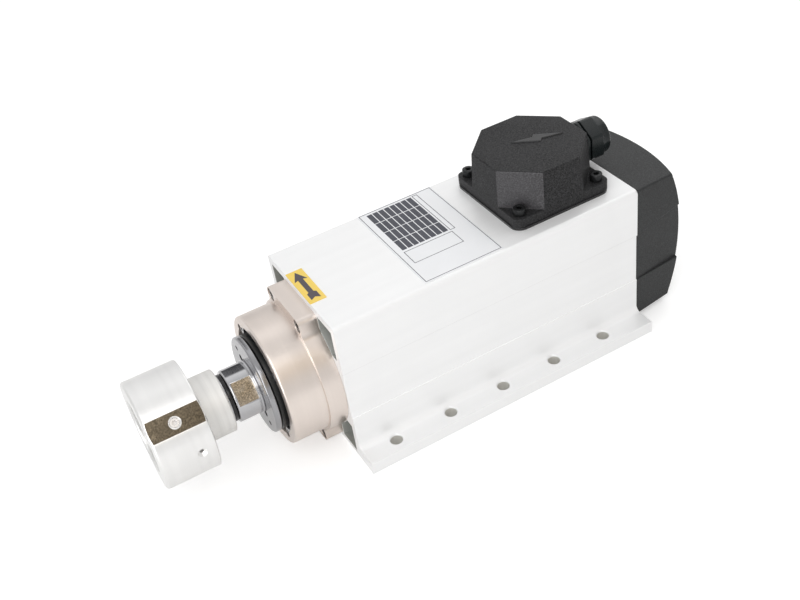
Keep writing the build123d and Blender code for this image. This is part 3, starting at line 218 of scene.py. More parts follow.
class Effects:
    """The surface effects that several finishes share, each built once."""

    def __init__(self) -> None:
        """Builds every effect group."""
        self.edges = self._edges()
        self.turning = self._turning()
        self.drawn = self._drawn()
        self.grain = self._grain()
        self.smudge = self._smudge()
        self.scratch = self._scratch()

    @staticmethod
    def _start(name: str, inputs: Mapping[str, float], outputs: Sequence[str]) -> tuple[Graph, Any, Any]:
        """Starts a group.

        Args:
            name: The group's name.
            inputs: Input names to their usual values.
            outputs: Output names.

        Returns:
            The graph, the outputs of the group's input node, and the group's output node.
        """
        tree = bpy.data.node_groups.new(name, "ShaderNodeTree")
        for key, value in inputs.items():
            socket = tree.interface.new_socket(key, in_out="INPUT", socket_type="NodeSocketFloat")
            socket.default_value = value
        for key in outputs:
            kind = "NodeSocketVector" if key == "Normal" else "NodeSocketFloat"
            tree.interface.new_socket(key, in_out="OUTPUT", socket_type=kind)
        graph = Graph(tree)
        return graph, graph.add("NodeGroupInput").outputs, graph.add("NodeGroupOutput")

    def _edges(self) -> Tree:
        """Builds the edges: the rounded normal, and a mask of edges that is broken up by noise, which the finishes
        use to lighten edges as wear and as a painted highlight.

        Returns:
            The group.
        """
        usual = {"Radius": 0.0006, "Gain": 3.0, "Breakup": 900.0}
        graph, given, result = self._start("edge_wear_and_highlight", usual, ["Mask", "Normal"])
        soft = graph.add("Bevel", {"Radius": given["Radius"]}, samples=4).outputs[0]
        true = graph.add("NewGeometry").outputs["Normal"]
        dot = graph.add("VectorMath", {0: soft, 1: true}, operation="DOT_PRODUCT")
        bend = graph.math("SUBTRACT", 1.0, dot.outputs["Value"])
        broken = graph.widened(graph.noise(graph.on_piece(), given["Breakup"]), 0.25, 1.0, (0.35, 0.65))
        strong = graph.product(bend, given["Gain"], clamp=True)
        graph.link(graph.product(strong, broken), result, "Mask")
        graph.link(soft, result, "Normal")
        return graph.tree

    def _turning(self) -> Tree:
        """Builds lathe marks round the spindle axis: rings on faces and hoops on walls.

        Returns:
            The group.
        """
        graph, given, result = self._start("turning_marks", {"Rings": 2500.0, "Bands": 260.0}, ["Height", "Shade"])
        along, aside, up = graph.add("SeparateXYZ", {0: graph.on_piece()}).outputs
        rise = graph.math("SUBTRACT", up, AXIS_HEIGHT * MM)
        radius = graph.math("SQRT", graph.total(graph.product(rise, rise), graph.product(aside, aside)))
        place = graph.add("CombineXYZ", {0: along, 1: radius}).outputs[0]
        graph.link(graph.noise(place, given["Rings"], Roughness=0.6), result, "Height")
        graph.link(graph.widened(graph.noise(place, given["Bands"], 3.0)), result, "Shade")
        return graph.tree

    def _drawn(self) -> Tree:
        """Builds the die lines of an extrusion, drawn out along its length.

        Returns:
            The group.
        """
        graph, given, result = self._start("drawn_lines", {"Fineness": 1400.0, "Tone": 170.0}, ["Height", "Shade"])
        place = graph.stretched(graph.on_piece(), (0.012, 1.0, 1.0))
        graph.link(graph.noise(place, given["Fineness"], 3.0), result, "Height")
        graph.link(graph.widened(graph.noise(place, given["Tone"])), result, "Shade")
        return graph.tree

    def _grain(self) -> Tree:
        """Builds the fine pits and bumps of a textured moulding or a blasted casting.

        Returns:
            The group.
        """
        graph, given, result = self._start("mould_grain", {"Scale": 1500.0}, ["Height", "Shade"])
        place = graph.on_piece()
        inputs = {"Vector": place, "Scale": given["Scale"], "Randomness": 1.0}
        cells = graph.add("TexVoronoi", inputs, feature="SMOOTH_F1").outputs[0]
        noise = graph.noise(place, given["Scale"], 3.0)
        height = graph.total(graph.product(cells, 0.5), graph.product(noise, 0.6))
        graph.link(height, result, "Height")
        graph.link(graph.widened(height, span=(0.35, 0.75)), result, "Shade")
        return graph.tree

    def _smudge(self) -> Tree:
        """Builds broad handling marks and uneven tone.

        Returns:
            The group.
        """
        graph, given, result = self._start("handling_marks", {"Scale": 28.0}, ["Mask"])
        noise = graph.noise(graph.on_piece(), given["Scale"], 4.0, Distortion=0.4)
        graph.link(graph.widened(noise, span=(0.4, 0.66)), result, "Mask")
        return graph.tree

    def _scratch(self) -> Tree:
        """Builds sparse hairline scratches in two directions.

        Returns:
            The group.
        """
        usual = {"Scale": 60.0, "Width": 0.012, "Gaps": 90.0}
        graph, given, result = self._start("hairline_scratches", usual, ["Mask"])
        place = graph.on_piece()
        lines = []
        for lean, squeeze in ((0.5, 0.05), (-0.9, 0.07)):
            aim = graph.stretched(place, (squeeze, 1.0, 1.0), (lean, 0.4, lean))
            cells = graph.add("TexVoronoi", {"Vector": aim, "Scale": given["Scale"]}, feature="DISTANCE_TO_EDGE")
            lines.append(graph.remap(cells.outputs[0], 0.0, given["Width"], 1.0, 0.0))
        sparse = graph.widened(graph.noise(place, given["Gaps"]), span=(0.55, 0.62))
        graph.link(graph.product(graph.math("MAXIMUM", *lines), sparse), result, "Mask")
        return graph.tree


# Finishes


@dataclass(frozen=True)
class Layer:
    """A tone laid over a finish: its mask's scale or gain, its share, and its factor on the plain colour."""

    scale: float
    share: float
    tone: float


@dataclass
class Surface:
    """A material in the making: its graph, its shader, the shared effects and its plain colour."""

    graph: Graph
    shader: Node
    effects: Effects
    plain: Colour

    def colour(self, source: Socket) -> None:
        """Feeds the shader's colour."""
        self.graph.link(source, self.shader, "Base Color")

    def roughness(self, source: Socket) -> None:
        """Feeds the shader's roughness."""
        self.graph.link(source, self.shader, "Roughness")

    def relief(self, height: Any, depth: float, edges: Optional[Node] = None) -> None:
        """Feeds a height through a bump node to the shader's normal.

        Args:
            height: The height's socket.
            depth: How deep the relief is in metres.
            edges: The edge group, for wear and painted highlight, whose rounded normal the relief lies on, if any.
        """
        inputs = {"Strength": 1.0, "Distance": depth, "Height": height}
        if edges:
            inputs["Normal"] = edges.outputs["Normal"]
        self.graph.link(self.graph.add("Bump", inputs).outputs[0], self.shader, "Normal")

    def grained(self, scale: float) -> tuple[Socket, Socket]:
        """Returns the height and the shade of a mould grain of a scale."""
        outputs = self.graph.effect(self.effects.grain, Scale=scale).outputs
        return outputs["Height"], outputs["Shade"]

    def smudges(self, scale: float) -> Socket:
        """Returns the mask of handling marks of a scale."""
        return self.graph.effect(self.effects.smudge, Scale=scale).outputs["Mask"]

    def edges(self, radius: float, gain: float) -> Node:
        """Returns the edge mask, for wear and painted highlight, of a radius and a gain."""
        return self.graph.effect(self.effects.edges, Radius=radius, Gain=gain)

    def tone(self, factor: float) -> Colour:
        """Returns the plain colour made lighter or darker by a factor."""
        return tuple(min(1.0, part * factor) for part in self.plain)

    def between(self, mask: Any, start: float, end: float) -> Socket:
        """Returns the plain colour by one factor where a mask is 0 and by another where it is 1."""
        return self.graph.mix(mask, self.tone(start), self.tone(end))

    def lay(self, layer: Layer, mask: Any, under: Any) -> Socket:
        """Returns a colour with a layer's tone laid over it where a mask shows."""
        return self.graph.mix(self.graph.product(mask, layer.share), under, self.tone(layer.tone))


@dataclass(frozen=True)
class Finish:
    """A procedural surface finish."""

    name: str
    colour: Colour
    roughness: float = 0.4
    metallic: float = 0.0

    def material(self, effects: Effects) -> bpy.types.Material:
        """Builds the finish as a material.

        Args:
            effects: The shared effect groups.

        Returns:
            The material.
        """
        made = bpy.data.materials.new(self.name)
        made.use_nodes = True
        made.diffuse_color = (*self.colour, 1.0)
        made.node_tree.nodes.clear()
        graph = Graph(made.node_tree)
        shader = graph.add("BsdfPrincipled", {"Metallic": self.metallic, "Roughness": self.roughness})
        output = graph.add("OutputMaterial", {"Surface": shader.outputs[0]})
        output.is_active_output = True
        self.dress(Surface(graph, shader, effects, self.colour))
        return made

    def dress(self, surface: Surface) -> None:
        """Gives the shader its colour, gloss and relief; each finish has its own way."""
        raise NotImplementedError


@dataclass(frozen=True)
class TurnedMetal(Finish):
    """Metal turned on a lathe, with ring marks, soft tone bands, and edges lightened as wear and as a painted
    highlight.
    """

    metallic: float = 1.0
    rings: float = 2500.0
    depth: float = 4e-6
    spread: float = 0.06
    tone: float = 0.12
    smudge: Layer = Layer(34.0, 0.3, 0.86)
    smudge_dulling: float = 0.05
    scratches: float = 70.0
    scratch_dulling: float = 0.12
    edge: Layer = Layer(2.5, 0.6, 1.12)
    edge_radius: float = 0.0003

    def dress(self, surface: Surface) -> None:
        """Adds the lathe marks, the tone bands, smudges and scratches.

        Args:
            surface: The material in the making.
        """
        graph = surface.graph
        marks = graph.effect(surface.effects.turning, Rings=self.rings).outputs
        smudge = surface.smudges(self.smudge.scale)
        edges = surface.edges(self.edge_radius, self.edge.scale)
        scratch = graph.effect(surface.effects.scratch, Scale=self.scratches).outputs["Mask"]
        banded = surface.between(marks["Shade"], 1.0 - self.tone, 1.0)
        handled = surface.lay(self.smudge, smudge, banded)
        # edges lightened partly as wear, partly as a painted highlight
        surface.colour(surface.lay(self.edge, edges.outputs["Mask"], handled))
        rough = graph.widened(marks["Height"], self.roughness - self.spread, self.roughness + self.spread)
        smeared = graph.total(rough, graph.product(smudge, self.smudge_dulling))
        surface.roughness(graph.total(smeared, graph.product(scratch, self.scratch_dulling)))
        surface.relief(marks["Height"], self.depth, edges)


@dataclass(frozen=True)
class MilledFlat(Finish):
    """A dull milled flat with a fine random sparkle."""

    metallic: float = 1.0
    sparkle: float = 1300.0
    depth: float = 1.2e-5
    darkest: float = 0.5
    lightest: float = 1.6
    smudge: Layer = Layer(160.0, 0.5, 0.8)
    smudge_dulling: float = 0.08

    def dress(self, surface: Surface) -> None:
        """Adds the sparkle and the uneven stain.

        Args:
            surface: The material in the making.
        """
        height, tone = surface.grained(self.sparkle)
        smudge = surface.smudges(self.smudge.scale)
        flecked = surface.between(tone, self.darkest, self.lightest)
        surface.colour(surface.lay(self.smudge, smudge, flecked))
        surface.roughness(surface.graph.fade(smudge, self.roughness, self.roughness + self.smudge_dulling))
        surface.relief(height, self.depth)


@dataclass(frozen=True)
class DrawnAnodised(Finish):
    """Pale anodised extrusion with faint die lines and a satin skin, and a painted shadow line under the step of
    its sides.
    """

    metallic: float = 0.25
    lines: float = 1500.0
    line_depth: float = 3e-6
    line_tone: float = 0.975
    line_spread: tuple[float, float] = (-0.04, 0.05)
    pits: float = 2600.0
    pit_depth: float = 2.5e-6
    smudge: Layer = Layer(22.0, 0.5, 0.965)
    smudge_dulling: float = 0.06
    edge: Layer = Layer(3.0, 0.5, 1.08)
    edge_radius: float = 0.0003
    # seam fields: where, how wide and how dark the painted shadow line under the side step is
    seam: float = 0.0
    seam_out: float = 0.0402
    seam_half: float = 0.00022
    seam_rim: tuple[float, float] = (0.5, 1.5)
    seam_shade: float = 0.55
    seam_tone: float = 0.5

    def dress(self, surface: Surface) -> None:
        """Adds the die lines, blasted pits, tone, and edges lightened as wear and as a painted highlight.

        Args:
            surface: The material in the making.
        """
        graph = surface.graph
        lines = graph.effect(surface.effects.drawn, Fineness=self.lines).outputs
        pits, _ = surface.grained(self.pits)
        smudge = surface.smudges(self.smudge.scale)
        edges = surface.edges(self.edge_radius, self.edge.scale)
        toned = surface.lay(self.smudge, smudge, surface.between(lines["Shade"], self.line_tone, 1.0))
        # edges lightened partly as wear, partly as a painted highlight
        worn_and_highlit = surface.lay(self.edge, edges.outputs["Mask"], toned)
        # painted shadow line under the side step, laid over the colour when a seam height is given
        surface.colour(self.shade_under_step(surface, worn_and_highlit) if self.seam else worn_and_highlit)
        rough = graph.widened(lines["Height"], *(self.roughness + part for part in self.line_spread))
        surface.roughness(graph.total(rough, graph.product(smudge, self.smudge_dulling)))
        drawn = graph.product(lines["Height"], self.line_depth / self.pit_depth)
        surface.relief(graph.total(drawn, pits), self.pit_depth, edges)

    def shade_under_step(self, surface: Surface, unshaded: Any) -> Socket:
        """Paints a thin shadow line under the step of the sides.

        Args:
            surface: The material in the making.
            unshaded: The colour's socket.

        Returns:
            The darkened colour's socket.
        """
        graph = surface.graph
        _, aside, up = graph.add("SeparateXYZ", {0: graph.on_piece()}).outputs
        away = graph.math("ABSOLUTE", graph.math("SUBTRACT", up, self.seam - self.seam_half))
        # strength of the painted shadow, fading away from the step
        near = graph.remap(away, *(part * self.seam_half for part in self.seam_rim), self.seam_shade, 0.0)
        outside = graph.math("GREATER_THAN", graph.math("ABSOLUTE", aside), self.seam_out)
        return graph.mix(graph.product(near, outside), unshaded, surface.tone(self.seam_tone))


@dataclass(frozen=True)
class TexturedPlastic(Finish):
    """Moulded plastic with a fine spark texture, and edges slightly polished and lightened as rubbing and as a
    painted highlight.
    """

    grain: float = 1500.0
    depth: float = 2.2e-5
    fleck: float = 0.5
    polish: float = 0.12
    sheen: float = 0.5
    spread: float = 0.06
    smudge: Layer = Layer(30.0, 0.35, 1.35)
    edge: Layer = Layer(2.5, 0.45, 1.8)
    edge_radius: float = 0.0007

    def dress(self, surface: Surface) -> None:
        """Adds the moulded grain, pale flecks, handling marks, and edges lightened as rubbing and as a painted
        highlight.

        Args:
            surface: The material in the making.
        """
        graph = surface.graph
        height, tone = surface.grained(self.grain)
        edges = surface.edges(self.edge_radius, self.edge.scale)
        flecked = surface.between(tone, 1.0 - self.fleck, 1.0 + self.fleck)
        dusty = surface.lay(self.smudge, surface.smudges(self.smudge.scale), flecked)
        # edges lightened partly as rubbing, partly as a painted highlight
        surface.colour(surface.lay(self.edge, edges.outputs["Mask"], dusty))
        rough = graph.fade(tone, self.roughness + self.spread, self.roughness - self.spread)
        surface.roughness(graph.math("SUBTRACT", rough, graph.product(edges.outputs["Mask"], self.polish)))
        surface.relief(height, self.depth, edges)
        surface.shader.inputs["Specular IOR Level"].default_value = self.sheen


@dataclass(frozen=True)
class CastMetal(Finish):
    """Cast or blasted metal with an uneven skin."""

    metallic: float = 1.0
    grain: float = 900.0
    depth: float = 3e-5
    pit_tone: float = 0.82
    spread: float = 0.08
    smudge: Layer = Layer(45.0, 0.4, 0.75)
    edge: Layer = Layer(3.0, 1.0, 1.2)
    edge_radius: float = 0.0006

    def dress(self, surface: Surface) -> None:
        """Adds the casting skin, stains, and edges lightened as wear and as a painted highlight.

        Args:
            surface: The material in the making.
        """
        height, tone = surface.grained(self.grain)
        edges = surface.edges(self.edge_radius, self.edge.scale)
        skin = surface.between(tone, self.pit_tone, 1.0)
        stained = surface.lay(self.smudge, surface.smudges(self.smudge.scale), skin)
        # edges lightened partly as wear, partly as a painted highlight
        surface.colour(surface.lay(self.edge, edges.outputs["Mask"], stained))
        surface.roughness(surface.graph.fade(tone, self.roughness + self.spread, self.roughness - self.spread))
        surface.relief(height, self.depth, edges)


@dataclass(frozen=True)
class WoundCopper(Finish):
    """Varnished copper wire, seen as turns round the stator."""

    metallic: float = 0.85
    turns: float = 900.0
    depth: float = 1.5e-4
    skew: Place = (0.5, 0.9, 0.2)
    wobble: float = 1.5
    gap_tone: float = 0.45
    varnish_gloss: float = 0.18
    smudge: Layer = Layer(80.0, 0.6, 0.55)

    def dress(self, surface: Surface) -> None:
        """Adds the wire turns and the pooled varnish.

        Args:
            surface: The material in the making.
        """
        graph = surface.graph
        skewed = graph.stretched(graph.on_piece(), (1.0, 1.0, 1.0), self.skew)
        inputs = {"Vector": skewed, "Scale": self.turns, "Distortion": self.wobble, "Detail": 1.0}
        wires = graph.add("TexWave", inputs, wave_type="BANDS").outputs["Fac"]
        smudge = surface.smudges(self.smudge.scale)
        surface.colour(surface.lay(self.smudge, smudge, surface.between(wires, self.gap_tone, 1.0)))
        surface.roughness(graph.fade(smudge, self.roughness, self.varnish_gloss))
        surface.relief(wires, self.depth)


@dataclass(frozen=True)
class StackedSteel(Finish):
    """Punched steel sheets stacked along the spindle."""

    metallic: float = 0.9
    sheets: float = 2000.0
    depth: float = 5e-5
    squeeze: Place = (1.0, 0.02, 0.02)
    tones: tuple[float, float] = (0.6, 1.3)
    smudge: Layer = Layer(50.0, 0.5, 0.7)

    def dress(self, surface: Surface) -> None:
        """Adds the sheet edges and stains.

        Args:
            surface: The material in the making.
        """
        graph = surface.graph
        layers = graph.noise(graph.stretched(graph.on_piece(), self.squeeze), self.sheets, 1.0)
        striped = surface.between(layers, *self.tones)
        surface.colour(surface.lay(self.smudge, surface.smudges(self.smudge.scale), striped))
        surface.relief(layers, self.depth)


@dataclass(frozen=True)
class PrintedFilm(Finish):
    """Printed polyester film with a soft sheen and slight cockle."""

    cockle: float = 2e-5
    pebble: Layer = Layer(3000.0, 0.25, 0.9)
    pebble_height: float = 0.1
    smudge: Layer = Layer(60.0, 0.4, 0.94)
    smudge_dulling: float = 0.12

    def dress(self, surface: Surface) -> None:
        """Adds the film's tone, its fine pebble and a slow cockle.

        Args:
            surface: The material in the making.
        """
        graph = surface.graph
        height, tone = surface.grained(self.pebble.scale)
        smudge = surface.smudges(self.smudge.scale)
        surface.colour(surface.lay(self.pebble, tone, surface.lay(self.smudge, smudge, self.colour)))
        surface.roughness(graph.fade(smudge, self.roughness, self.roughness + self.smudge_dulling))
        surface.relief(graph.total(smudge, graph.product(height, self.pebble_height)), self.cockle)


@dataclass(frozen=True)
class Look:
    """Every finish of the spindle."""

    # seam=0.0626 puts a painted shadow line under the side step at 62.6 mm
    case: Finish = DrawnAnodised("anodised_case", (0.905, 0.908, 0.912), 0.42, seam=0.0626)
    # air duct recesses: a darker copy of the case, painted shade in the recess
    shaded_duct: Finish = DrawnAnodised("painted_shade_duct", (0.42, 0.43, 0.405), 0.5)
    # foot hole walls: a darker copy of the case, painted shade inside the holes
    shaded_bore: Finish = DrawnAnodised("painted_shade_bore", (0.74, 0.73, 0.69), 0.36)
    # ledges over the foot: a lighter copy of the case, a painted highlight line
    ledge: Finish = DrawnAnodised("painted_highlight_ledge", (0.97, 0.975, 0.98), 0.45, 0.0)
    nose: Finish = TurnedMetal("nickel_nose", (0.84, 0.757, 0.70), 0.31, rings=1500.0, depth=1.5e-6,
                               spread=0.03, tone=0.05)
    screw: Finish = TurnedMetal("plated_screw", (0.66, 0.65, 0.65), 0.26, rings=3000.0, depth=2e-6)
    oiled_screw: Finish = TurnedMetal("oiled_screw", (0.2, 0.19, 0.185), 0.24, rings=3000.0, depth=2e-6)
    dark_screw: Finish = TexturedPlastic("blackened_screw", (0.02, 0.021, 0.022), 0.32, 0.6,
                                         grain=3500.0, depth=4e-6)
    cap: Finish = TurnedMetal("black_cap", (0.01, 0.011, 0.0115), 0.3, 0.05, rings=1800.0, depth=2e-6)
    shaft: Finish = TurnedMetal("ground_shaft", (0.575, 0.575, 0.59), 0.09, rings=4200.0, depth=5e-7,
                                spread=0.03, tone=0.05)
    shaft_flat: Finish = MilledFlat("shaft_flat", (0.5, 0.445, 0.37), 0.18)
    ring: Finish = TurnedMetal("polished_ring", (0.41, 0.41, 0.425), 0.15, rings=3200.0, depth=1e-6,
                               spread=0.04, tone=0.1)
    hub: Finish = TurnedMetal("turned_aluminium", (0.95, 0.945, 0.935), 0.36, rings=1300.0, depth=1e-6,
                              spread=0.03, tone=0.05)
    neck: Finish = TurnedMetal("dull_neck", (0.86, 0.85, 0.83), 0.58, rings=1300.0, depth=1e-6,
                               spread=0.06, tone=0.12)
    hub_flat: Finish = MilledFlat("hub_flat", (0.122, 0.102, 0.074), 0.24)
    plastic: Finish = TexturedPlastic("spark_textured_black", (0.03, 0.03, 0.0312), 0.42,
                                      depth=1.8e-5, fleck=0.7, sheen=0.12)
    # hood corner facets that face -X: a lighter copy of the hood plastic, painted light on the side that faces the
    # lamps
    lit_facet: Finish = TexturedPlastic("painted_light_facet", (0.052, 0.05, 0.054), 0.45, depth=1.6e-5, fleck=0.6)
    relief: Finish = TexturedPlastic("polished_relief", (0.03, 0.03, 0.0315), 0.42,
                                     grain=2600.0, depth=3e-6, fleck=0.2)
    cover: Finish = TexturedPlastic("cover_black", (0.0205, 0.0215, 0.0222), 0.5, depth=1.4e-5, sheen=0.35)
    smooth_plastic: Finish = TexturedPlastic("gland_black", (0.009, 0.012, 0.0125), 0.2,
                                             grain=2600.0, depth=3e-6, fleck=0.25, sheen=0.33)
    rubber: Finish = TexturedPlastic("gasket_black", (0.012, 0.012, 0.013), 0.16,
                                     grain=2200.0, depth=2e-6, fleck=0.2)
    bracket: Finish = CastMetal("cast_bracket", (0.66, 0.67, 0.68), 0.45)
    fan: Finish = TexturedPlastic("fan_nylon", (0.08, 0.08, 0.085), 0.5, grain=1800.0, depth=1e-5)
    film: Finish = PrintedFilm("plate_film", (0.83, 0.84, 0.86), 0.36)
    ink: Finish = PrintedFilm("plate_ink", (0.055, 0.058, 0.075), 0.42)
    arrow_film: Finish = PrintedFilm("arrow_film", (0.86, 0.62, 0.12), 0.36)
    arrow_ink: Finish = PrintedFilm("arrow_ink", (0.075, 0.062, 0.075), 0.4)
    winding: Finish = WoundCopper("varnished_copper", (0.62, 0.26, 0.11), 0.34)
    stack: Finish = StackedSteel("stacked_steel", (0.26, 0.26, 0.27), 0.45)
    bearing: Finish = TurnedMetal("bearing_steel", (0.7, 0.7, 0.72), 0.12, rings=3600.0, depth=1e-6)
    brass: Finish = TurnedMetal("machined_brass", (0.72, 0.55, 0.24), 0.26, rings=2400.0)
    block: Finish = TexturedPlastic("thermoset_block", (0.3, 0.09, 0.04), 0.4,
                                    grain=1200.0, depth=1e-5, fleck=0.2)


class Wardrobe:
    """Makes each finish's material once and hands it out."""

    def __init__(self) -> None:
        """Builds the shared effects; the materials follow when first asked for."""
        self.effects = Effects()
        self.made: dict[str, bpy.types.Material] = {}

    def get(self, finish: Finish) -> bpy.types.Material:
        """Gives a finish's material, built on first use.

        Args:
            finish: The finish.

        Returns:
            Its material.
        """
        if finish.name not in self.made:
            self.made[finish.name] = finish.material(self.effects)
        return self.made[finish.name]


# Mesh tools


def shift(x: float = 0.0, y: float = 0.0, z: float = 0.0) -> Matrix:
    """Returns a move by millimetres."""
    return Matrix.Translation(Vector((x, y, z)) * MM)


def turn(angle: float, axis: str) -> Matrix:
    """Returns a turn by degrees about a world axis."""
    return Matrix.Rotation(math.radians(angle), 4, axis)


def about_spindle(angle: float) -> Matrix:
    """Returns the frame on the spindle axis whose +Z leans towards -Y by an angle in degrees."""
    return shift(z=AXIS_HEIGHT) @ turn(angle, "X")


def bevel(bm: Mesh, edges: Iterable[Edge], width: float, segments: int = 2) -> None:
    """Rounds edges.

    Args:
        bm: The mesh.
        edges: The edges to round.
        width: The bevel's width in metres.
        segments: How many faces cross the bevel.
    """
    bmesh.ops.bevel(bm, geom=list(edges), offset=width, offset_type="OFFSET", affect="EDGES",
                    segments=segments, profile=0.5, material=-1, clamp_overlap=False)


def outer_edges(bm: Mesh, room: float) -> list[Edge]:
    """Finds the outward edges that have room to be rounded.

    Args:
        bm: The mesh.
        room: The least length in metres of the edge and of each sharp edge that meets it.

    Returns:
        The edges.
    """
    sharp = {e for e in bm.edges if len(e.link_faces) == 2 and e.calc_face_angle(0.0) > SHARP_ANGLE}
    tight = {v for e in sharp if e.calc_length() < room for v in e.verts}
    return [e for e in sharp if e.is_convex and not tight.intersection(e.verts)]


def softened(node: str, edge: float, segments: int = 2, ends_kept: bool = False) -> Mesh:
    """Copies a CAD node's mesh, merges it into clean faces and rounds its edges.

    Args:
        node: The CAD node.
        edge: The width of the rounded edges in millimetres.
        segments: How many faces cross each rounded edge.
        ends_kept: Whether the faces square to the spindle keep their triangles, for flat rings with holes.

    Returns:
        The new mesh.
    """
    bm = bmesh.new()
    bm.from_mesh(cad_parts[node].data)
    bmesh.ops.remove_doubles(bm, verts=bm.verts, dist=WELD)
    edges = [e for e in bm.edges if not ends_kept or any(abs(f.normal.x) < SQUARE_ON for f in e.link_faces)]
    bmesh.ops.dissolve_limit(bm, angle_limit=FLAT_ANGLE, verts=bm.verts, edges=edges)
    bm.normal_update()
    bevel(bm, outer_edges(bm, ROOM * edge * MM), edge * MM, segments)
    bm.normal_update()
    return bm


def mark_flats(bm: Mesh, angle: float, height: float, slot: int) -> None:
    """Gives a pair of opposite flats another material index.

    Args:
        bm: The mesh.
        angle: How far the first flat leans towards -Y, in degrees.
        height: How far each flat is from the spindle axis, in millimetres.
        slot: The material index.
    """
    out = about_spindle(angle).to_3x3() @ Vector((0.0, 0.0, 1.0))
    centre = Vector((0.0, 0.0, AXIS_HEIGHT)) * MM
    for face in bm.faces:
        reach = (face.calc_center_median() - centre).dot(out)
        if abs(face.normal.dot(out)) > SQUARE_ON and abs(abs(reach) - height * MM) < NEAR * MM:
            face.material_index = slot


def stamp(bm: Mesh, part: Mesh, places: Iterable[Matrix]) -> None:
    """Adds copies of one mesh to another and frees the first.

    Args:
        bm: The mesh that takes the copies.
        part: The mesh that is copied.
        places: Where each copy goes.
    """
    pattern = bpy.data.meshes.new("pattern")
    part.to_mesh(pattern)
    part.free()
    for place in places:
        copy = pattern.copy()
        copy.transform(place)
        bm.from_mesh(copy)
        bpy.data.meshes.remove(copy)
    bpy.data.meshes.remove(pattern)


def slab(bm: Mesh, centre: Place, size: Place, slot: int = 0) -> None:
    """Adds a block.

    Args:
        bm: The mesh.
        centre: The block's centre in millimetres.
        size: The block's sizes in millimetres.
        slot: The material index of its faces.
    """
    place = shift(*centre) @ Matrix.Diagonal((*(part * MM for part in size), 1.0))
    made = bmesh.ops.create_cube(bm, size=1.0, matrix=place)
    for face in {face for vert in made["verts"] for face in vert.link_faces}:
        face.material_index = slot


@dataclass
class SubAssembly:
    """A group of pieces with the tools to place and dress them."""

    wardrobe: Wardrobe
    look: Look

    def piece(self, name: str, bm: Mesh, body: Body, slot: Slot, finishes: Sequence[Finish],
              replaces: Sequence[str]) -> None:
        """Turns a mesh into a dressed piece that rides on a body.

        Args:
            name: The piece's name.
            bm: Its mesh, in place; it is freed.
            body: The body that it rides on.
            slot: A material slot name; not used.
            finishes: Its finishes, in the order of its material indices.
            replaces: The CAD nodes that it stands for.
        """
        mesh = bpy.data.meshes.new(name)
        bm.to_mesh(mesh)
        bm.free()
        stale = mesh.attributes.get("custom_normal")
        if stale:
            mesh.attributes.remove(stale)
        for finish in finishes:
            mesh.materials.append(self.wardrobe.get(finish))
        mesh.polygons.foreach_set("use_smooth", [True] * len(mesh.polygons))
        mesh.set_sharp_from_angle(angle=SMOOTH_ANGLE)
        made = bpy.data.objects.new(name, mesh)
        bpy.context.scene.collection.objects.link(made)
        level = made.modifiers.new("flat_faces", "WEIGHTED_NORMAL")
        level.keep_sharp = True
        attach(made, body.value)
        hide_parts(*replaces)
        LOG.info("%s: %d faces on %s", name, len(mesh.polygons), body.value)

    def rounded(self, node: str, name: str, body: Body, slot: Slot, finish: Finish, edge: float, segments: int = 2,
                ends_kept: bool = False) -> None:
        """Builds a piece that is its CAD node with rounded edges, in one finish.

        Args:
            node: The CAD node.
            name: The piece's name.
            body: The body that it rides on.
            slot: A material slot name, passed on to the piece.
            finish: Its finish.
            edge: The width of the rounded edges in millimetres.
            segments: How many faces cross each rounded edge.
            ends_kept: Whether the faces square to the spindle keep their triangles.
        """
        self.piece(name, softened(node, edge, segments, ends_kept), body, slot, [finish], [node])

    def paint(self, finish: Finish, *nodes: str) -> None:
        """Gives CAD nodes that stay a finish of their own.

        Args:
            finish: The finish.
            nodes: The CAD nodes.
        """
        for node in nodes:
            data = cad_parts[node].data
            data.materials.clear()
            data.materials.append(self.wardrobe.get(finish))
            LOG.info("%s: painted %s", node, finish.name)


# Sub-assemblies


@dataclass(frozen=True)
class ScrewSize:
    """The sizes in millimetres that a thread gives a socket screw."""

    head_radius: float
    head_height: float
    shank_radius: float
    across: float


M3 = ScrewSize(2.75, 3.0, 1.5, 2.5)
M4 = ScrewSize(3.5, 4.0, 2.0, 3.0)


